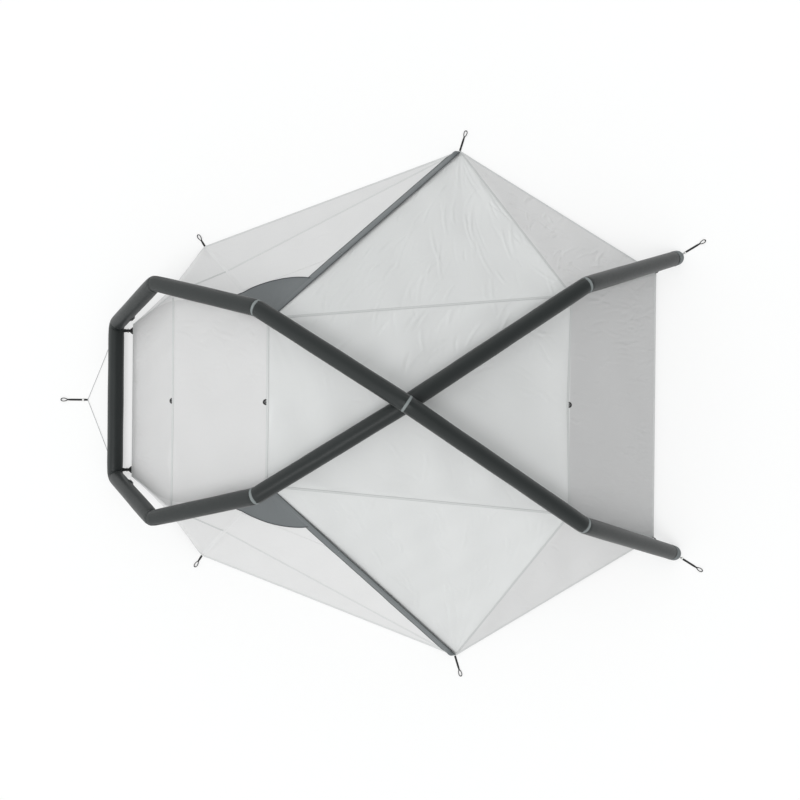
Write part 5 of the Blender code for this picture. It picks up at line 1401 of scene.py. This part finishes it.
webbing = {
    "strap": 0.0118, "thickness": 0.002, "hanger": 0.024, "hangerWall": 0.0022, "headStrap": 0.018,
    "footStrap": 0.022, "strapWall": 0.0021, "buckleAt": 0.52, "buckleSize": 0.46, "buckleWire": 0.0014,
    "footStrapInset": 0.035, "loopLong": 0.042, "loopWide": 0.026, "loopHigh": 0.0066, "loopWall": 0.0046,
    "leadRadius": 0.0013, "keeper": (0.009, 0.016, 0.006),
}
pegLoops = {
    "side_peg_loop": {"at": (0.342, 1.502), "heading": math.radians(73), "strap": 0.088, "gap": 0.0003},
    "rear_peg_loop": {"at": (-1.170, 0.920), "heading": math.radians(122), "strap": 0.042, "gap": 0.0003},
    "foot_peg_loop": {"at": (1.620, 0.869), "heading": math.radians(31.5), "strap": 0.105, "gap": 0.0406,
                      "lead": 0.038, "height": 0.020},
}
tailLoop = {"at": -1.8588, "strap": 0.121, "keeper": (0.021, 0.032), "keeperWidth": 0.0168,
            "keeperHeight": 0.0046, "keeperLevel": 0.0004}


def buildHangers():
    joints = {"foot_hanger": ("shoulder", "elbow"), "shoulder_hanger": ("crossingHigh", "shoulder"),
              "knee_hanger": ("crossingHigh", "knee")}
    section = strapSection(webbing["hanger"], webbing["hangerWall"])
    for side, name in ((1, "left"), (-1, "right")):
        for key, (ahead, behind) in joints.items():
            node = key + "_" + name
            low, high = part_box(node)
            run = Vector((beam[ahead][0] - beam[behind][0], (beam[ahead][1] - beam[behind][1]) * side, 0))
            middle = (low + high) / 2
            path = [(middle.x, middle.y, height) for height in np.linspace(low.z - 0.010, high.z, 8)]
            normal = Vector((-run.y, run.x, 0)).normalized()
            strap = sweep("hangTab_" + node, path, tuple(normal), section)
            finishPiece(strap, "webbing", "root", [node])
    low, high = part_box("crossing_hanger")
    path = [(0.031, 0, height) for height in np.linspace(low.z - 0.004, high.z, 6)]
    strap = sweep("hangTab_crossing", path, (0, 1, 0), section)
    finishPiece(strap, "webbing", "root", ["crossing_hanger"])
    print("hangers ready")


def beamStrap(node, start, beamStart, beamEnd, width):
    # A flat strap from the fly's hem to the side of a beam, with a buckle on it
    start, beamStart, beamEnd = [np.array(point, float) for point in (start, beamStart, beamEnd)]
    line = unit(beamEnd - beamStart)
    seat = beamStart + line * ((start - beamStart) @ line)
    reach = unit(seat - start)
    length = np.linalg.norm(seat - start) - beam["radius"]
    up = np.cross(reach, line)
    up = up if up[2] > 0 else -up
    path = [start + reach * (0.0012 + (length - 0.0012) * share) for share in np.linspace(0, 1, 10)]
    section = np.array([strapSection(width, webbing["strapWall"])] * 10)
    section[:, :, 0] *= (0.55 + 0.45 * np.abs(np.linspace(1, -1, 10)) ** 0.7)[:, None]
    strap = sweep(node.replace("strap", "band"), path, up, section)
    parts = [strap]
    across = np.cross(up, reach)
    for way in (-1, 1):  # the strap is sewn to the hem by two spread tails
        tail = [start + across * way * width * 0.85 * (1 - share) + reach * length * 0.42 * share
                for share in np.linspace(0.02, 1, 7)]
        parts.append(sweep("tail", tail, up, strapSection(width * 0.34, 0.0019)))
    size = width * webbing["buckleSize"]
    middle = start + reach * length * webbing["buckleAt"] + up * 0.0004
    turns = np.linspace(0, 2 * math.pi, 29)[:-1]
    ring = [middle + across * math.cos(turn) * size + reach * math.sin(turn) * size * 0.62
            for turn in np.append(turns, turns[0])]
    parts.append(sweep("buckle", ring, up, roundSection(webbing["buckleWire"], 8), closedEnds=False))
    joined = joinPieces(parts, node.replace("strap", "band"))
    return finishPiece(joined, "webbing", "root", [node])


def buildCornerStraps():
    for side, name in ((1, "left"), (-1, "right")):
        corner = sideOf(flyPoint["headCorner"], side)
        beamStrap("head_corner_strap_" + name, corner, sideOf(beam["knee"], side), sideOf(beam["foot"], side),
                  webbing["headStrap"])
        corner = flyPoint["footCorner"] - (0, webbing["footStrapInset"], 0)
        beamStrap("foot_corner_strap_" + name, sideOf(corner, side), sideOf(beam["barEnd"], -side),
                  sideOf(beam["barEnd"], side), webbing["footStrap"])
    print("straps ready")


def loopParts(strap, lead=0.0, height=webbing["thickness"]):
    # Parts of a peg loop that lies along +X from its hinge: the black ones and the pale keeper
    wide, thick = webbing["strap"], webbing["thickness"]
    end = lead + strap
    level = thick / 2 - height
    black, pale = [], []
    steps = np.linspace(lead, end, 16)
    section = np.array([strapSection(wide, thick)] * 16)
    section[:, :, 0] *= (1 - 0.35 * np.clip((steps - end + 0.02) / 0.02, 0, 1))[:, None]
    black.append(sweep("strap", [(x, 0, level) for x in steps], (0, 0, 1), section))
    turns = np.linspace(-math.pi, math.pi, 41)
    middle = end - 0.003 + webbing["loopLong"] / 2
    ring = [(middle + math.cos(turn) * (webbing["loopLong"] / 2 - 0.0023),
             math.sin(turn) * (webbing["loopWide"] / 2 - 0.0023) * (0.62 + 0.38 * math.cos(turn / 2) ** 2),
             webbing["loopHigh"] / 2 - height) for turn in turns]
    band = strapSection(webbing["loopWall"], webbing["loopHigh"])
    black.append(sweep("ring", ring, (0, 0, 1), band, closedEnds=False))
    patch = np.array([strapSection(wide * 0.8, 0.0036)] * 6)
    black.append(sweep("patch", [(x, 0, level + 0.0009) for x in np.linspace(end - 0.020, end - 0.002, 6)],
                       (0, 0, 1), patch))
    if lead:
        long, broad, high = webbing["keeper"]
        block = [(x, 0, high / 2 - height) for x in np.linspace(lead - long / 2, lead + long / 2, 5)]
        pale.append(sweep("keeper", block, (0, 0, 1), strapSection(broad, high, 16)))
        for side in (-1, 1):
            rows = [(lead * share, side * 0.0022 * math.sin(math.pi * min(share * 1.6, 1) / 2),
                     share * (high / 2 - height)) for share in np.linspace(0.03, 1, 12)]
            black.append(sweep("lead", rows, (0, 0, 1), roundSection(webbing["leadRadius"], 8)))
        knot = [(0.0018 * math.cos(turn), 0.0018 * math.sin(turn), 0.0012 * math.sin(turn * 1.5))
                for turn in np.linspace(0, 4 * math.pi, 33)]
        black.append(sweep("knot", knot, (0, 0, 1), roundSection(0.0012, 8)))
    return black, pale


def placeLoop(node, parts, hinge, heading, finish, replaced):
    piece = joinPieces(parts, ("pegStrap_" if finish == "webbing" else "pegKeeper_") + node)
    piece.data.transform(Matrix.Translation(Vector(hinge)) @ Matrix.Rotation(heading, 4, "Z"))
    return finishPiece(piece, finish, node, [node] if replaced else ())


def buildPegLoops():
    for side, name in ((1, "left"), (-1, "right")):
        for key, loop in pegLoops.items():
            lead = loop.get("lead", 0.0)
            height = loop.get("height", webbing["thickness"])
            black, pale = loopParts(loop["strap"], lead, height)
            turn = loop["heading"]
            hinge = (loop["at"][0] + math.cos(turn) * loop["gap"],
                     (loop["at"][1] + math.sin(turn) * loop["gap"]) * side, height)
            node = key + "_" + name
            placeLoop(node, black, hinge, turn * side, "webbing", True)
            if pale:
                placeLoop(node, pale, hinge, turn * side, "keeperWeb", False)
    black = loopParts(tailLoop["strap"])[0]
    row = [(x, 0, tailLoop["keeperLevel"]) for x in np.linspace(*tailLoop["keeper"], 5)]
    section = strapSection(tailLoop["keeperWidth"], tailLoop["keeperHeight"], 16)
    pale = [sweep("keeper", row, (0, 0, 1), section)]
    hinge = (tailLoop["at"], 0.0, webbing["thickness"])
    placeLoop("tail_peg_loop", black, hinge, math.pi, "webbing", True)
    placeLoop("tail_peg_loop", pale, hinge, math.pi, "keeperWeb", False)
    print("peg loops ready")


roofTab = {"places": [(-1.229, 0.0, -1), (-0.659, 0.0, -1), (0.858, 0.0, 1)], "inner": 0.0072,
           "outer": 0.0148, "block": 0.0046, "long": 1.25, "lift": 0.0026, "wall": 0.0018}


def buildRoofTabs():
    # Small half round tabs with a slot, sewn over the roof's cross seams
    for index, (x, y, way) in enumerate(roofTab["places"]):
        parts = []
        for near, far in ((roofTab["inner"], roofTab["outer"]), (0.0004, roofTab["block"])):
            part, u, v = newGrid("tab", 24, 6)
            turn = (u - 0.5) * math.pi
            run = near + (far - near) * v
            out = way * (0.001 + run * roofTab["long"] * np.cos(turn))
            spots = np.stack((x + out, y + run * np.sin(turn)), 1)
            crown = 0.0012 * np.sin(math.pi * v)
            height = flyHeight(spots[:, 0], spots[:, 1]) + roofTab["lift"] + crown
            layPoints(part, np.column_stack((spots, height)), spots)
            faceUp(part)
            giveWall(part, roofTab["wall"])
            parts.append(part)
        finishPiece(joinPieces(parts, "roofTab_%d" % index), "webbing", "root", ())
    print("roof tabs ready")


buildStage()
buildGuyLine()
buildBeam()
buildFootCaps()
buildValves()
buildFly()
buildDoors()
buildHoods()
buildZips()
buildInnerTent()
buildHangers()
buildCornerStraps()
buildPegLoops()
buildRoofTabs()
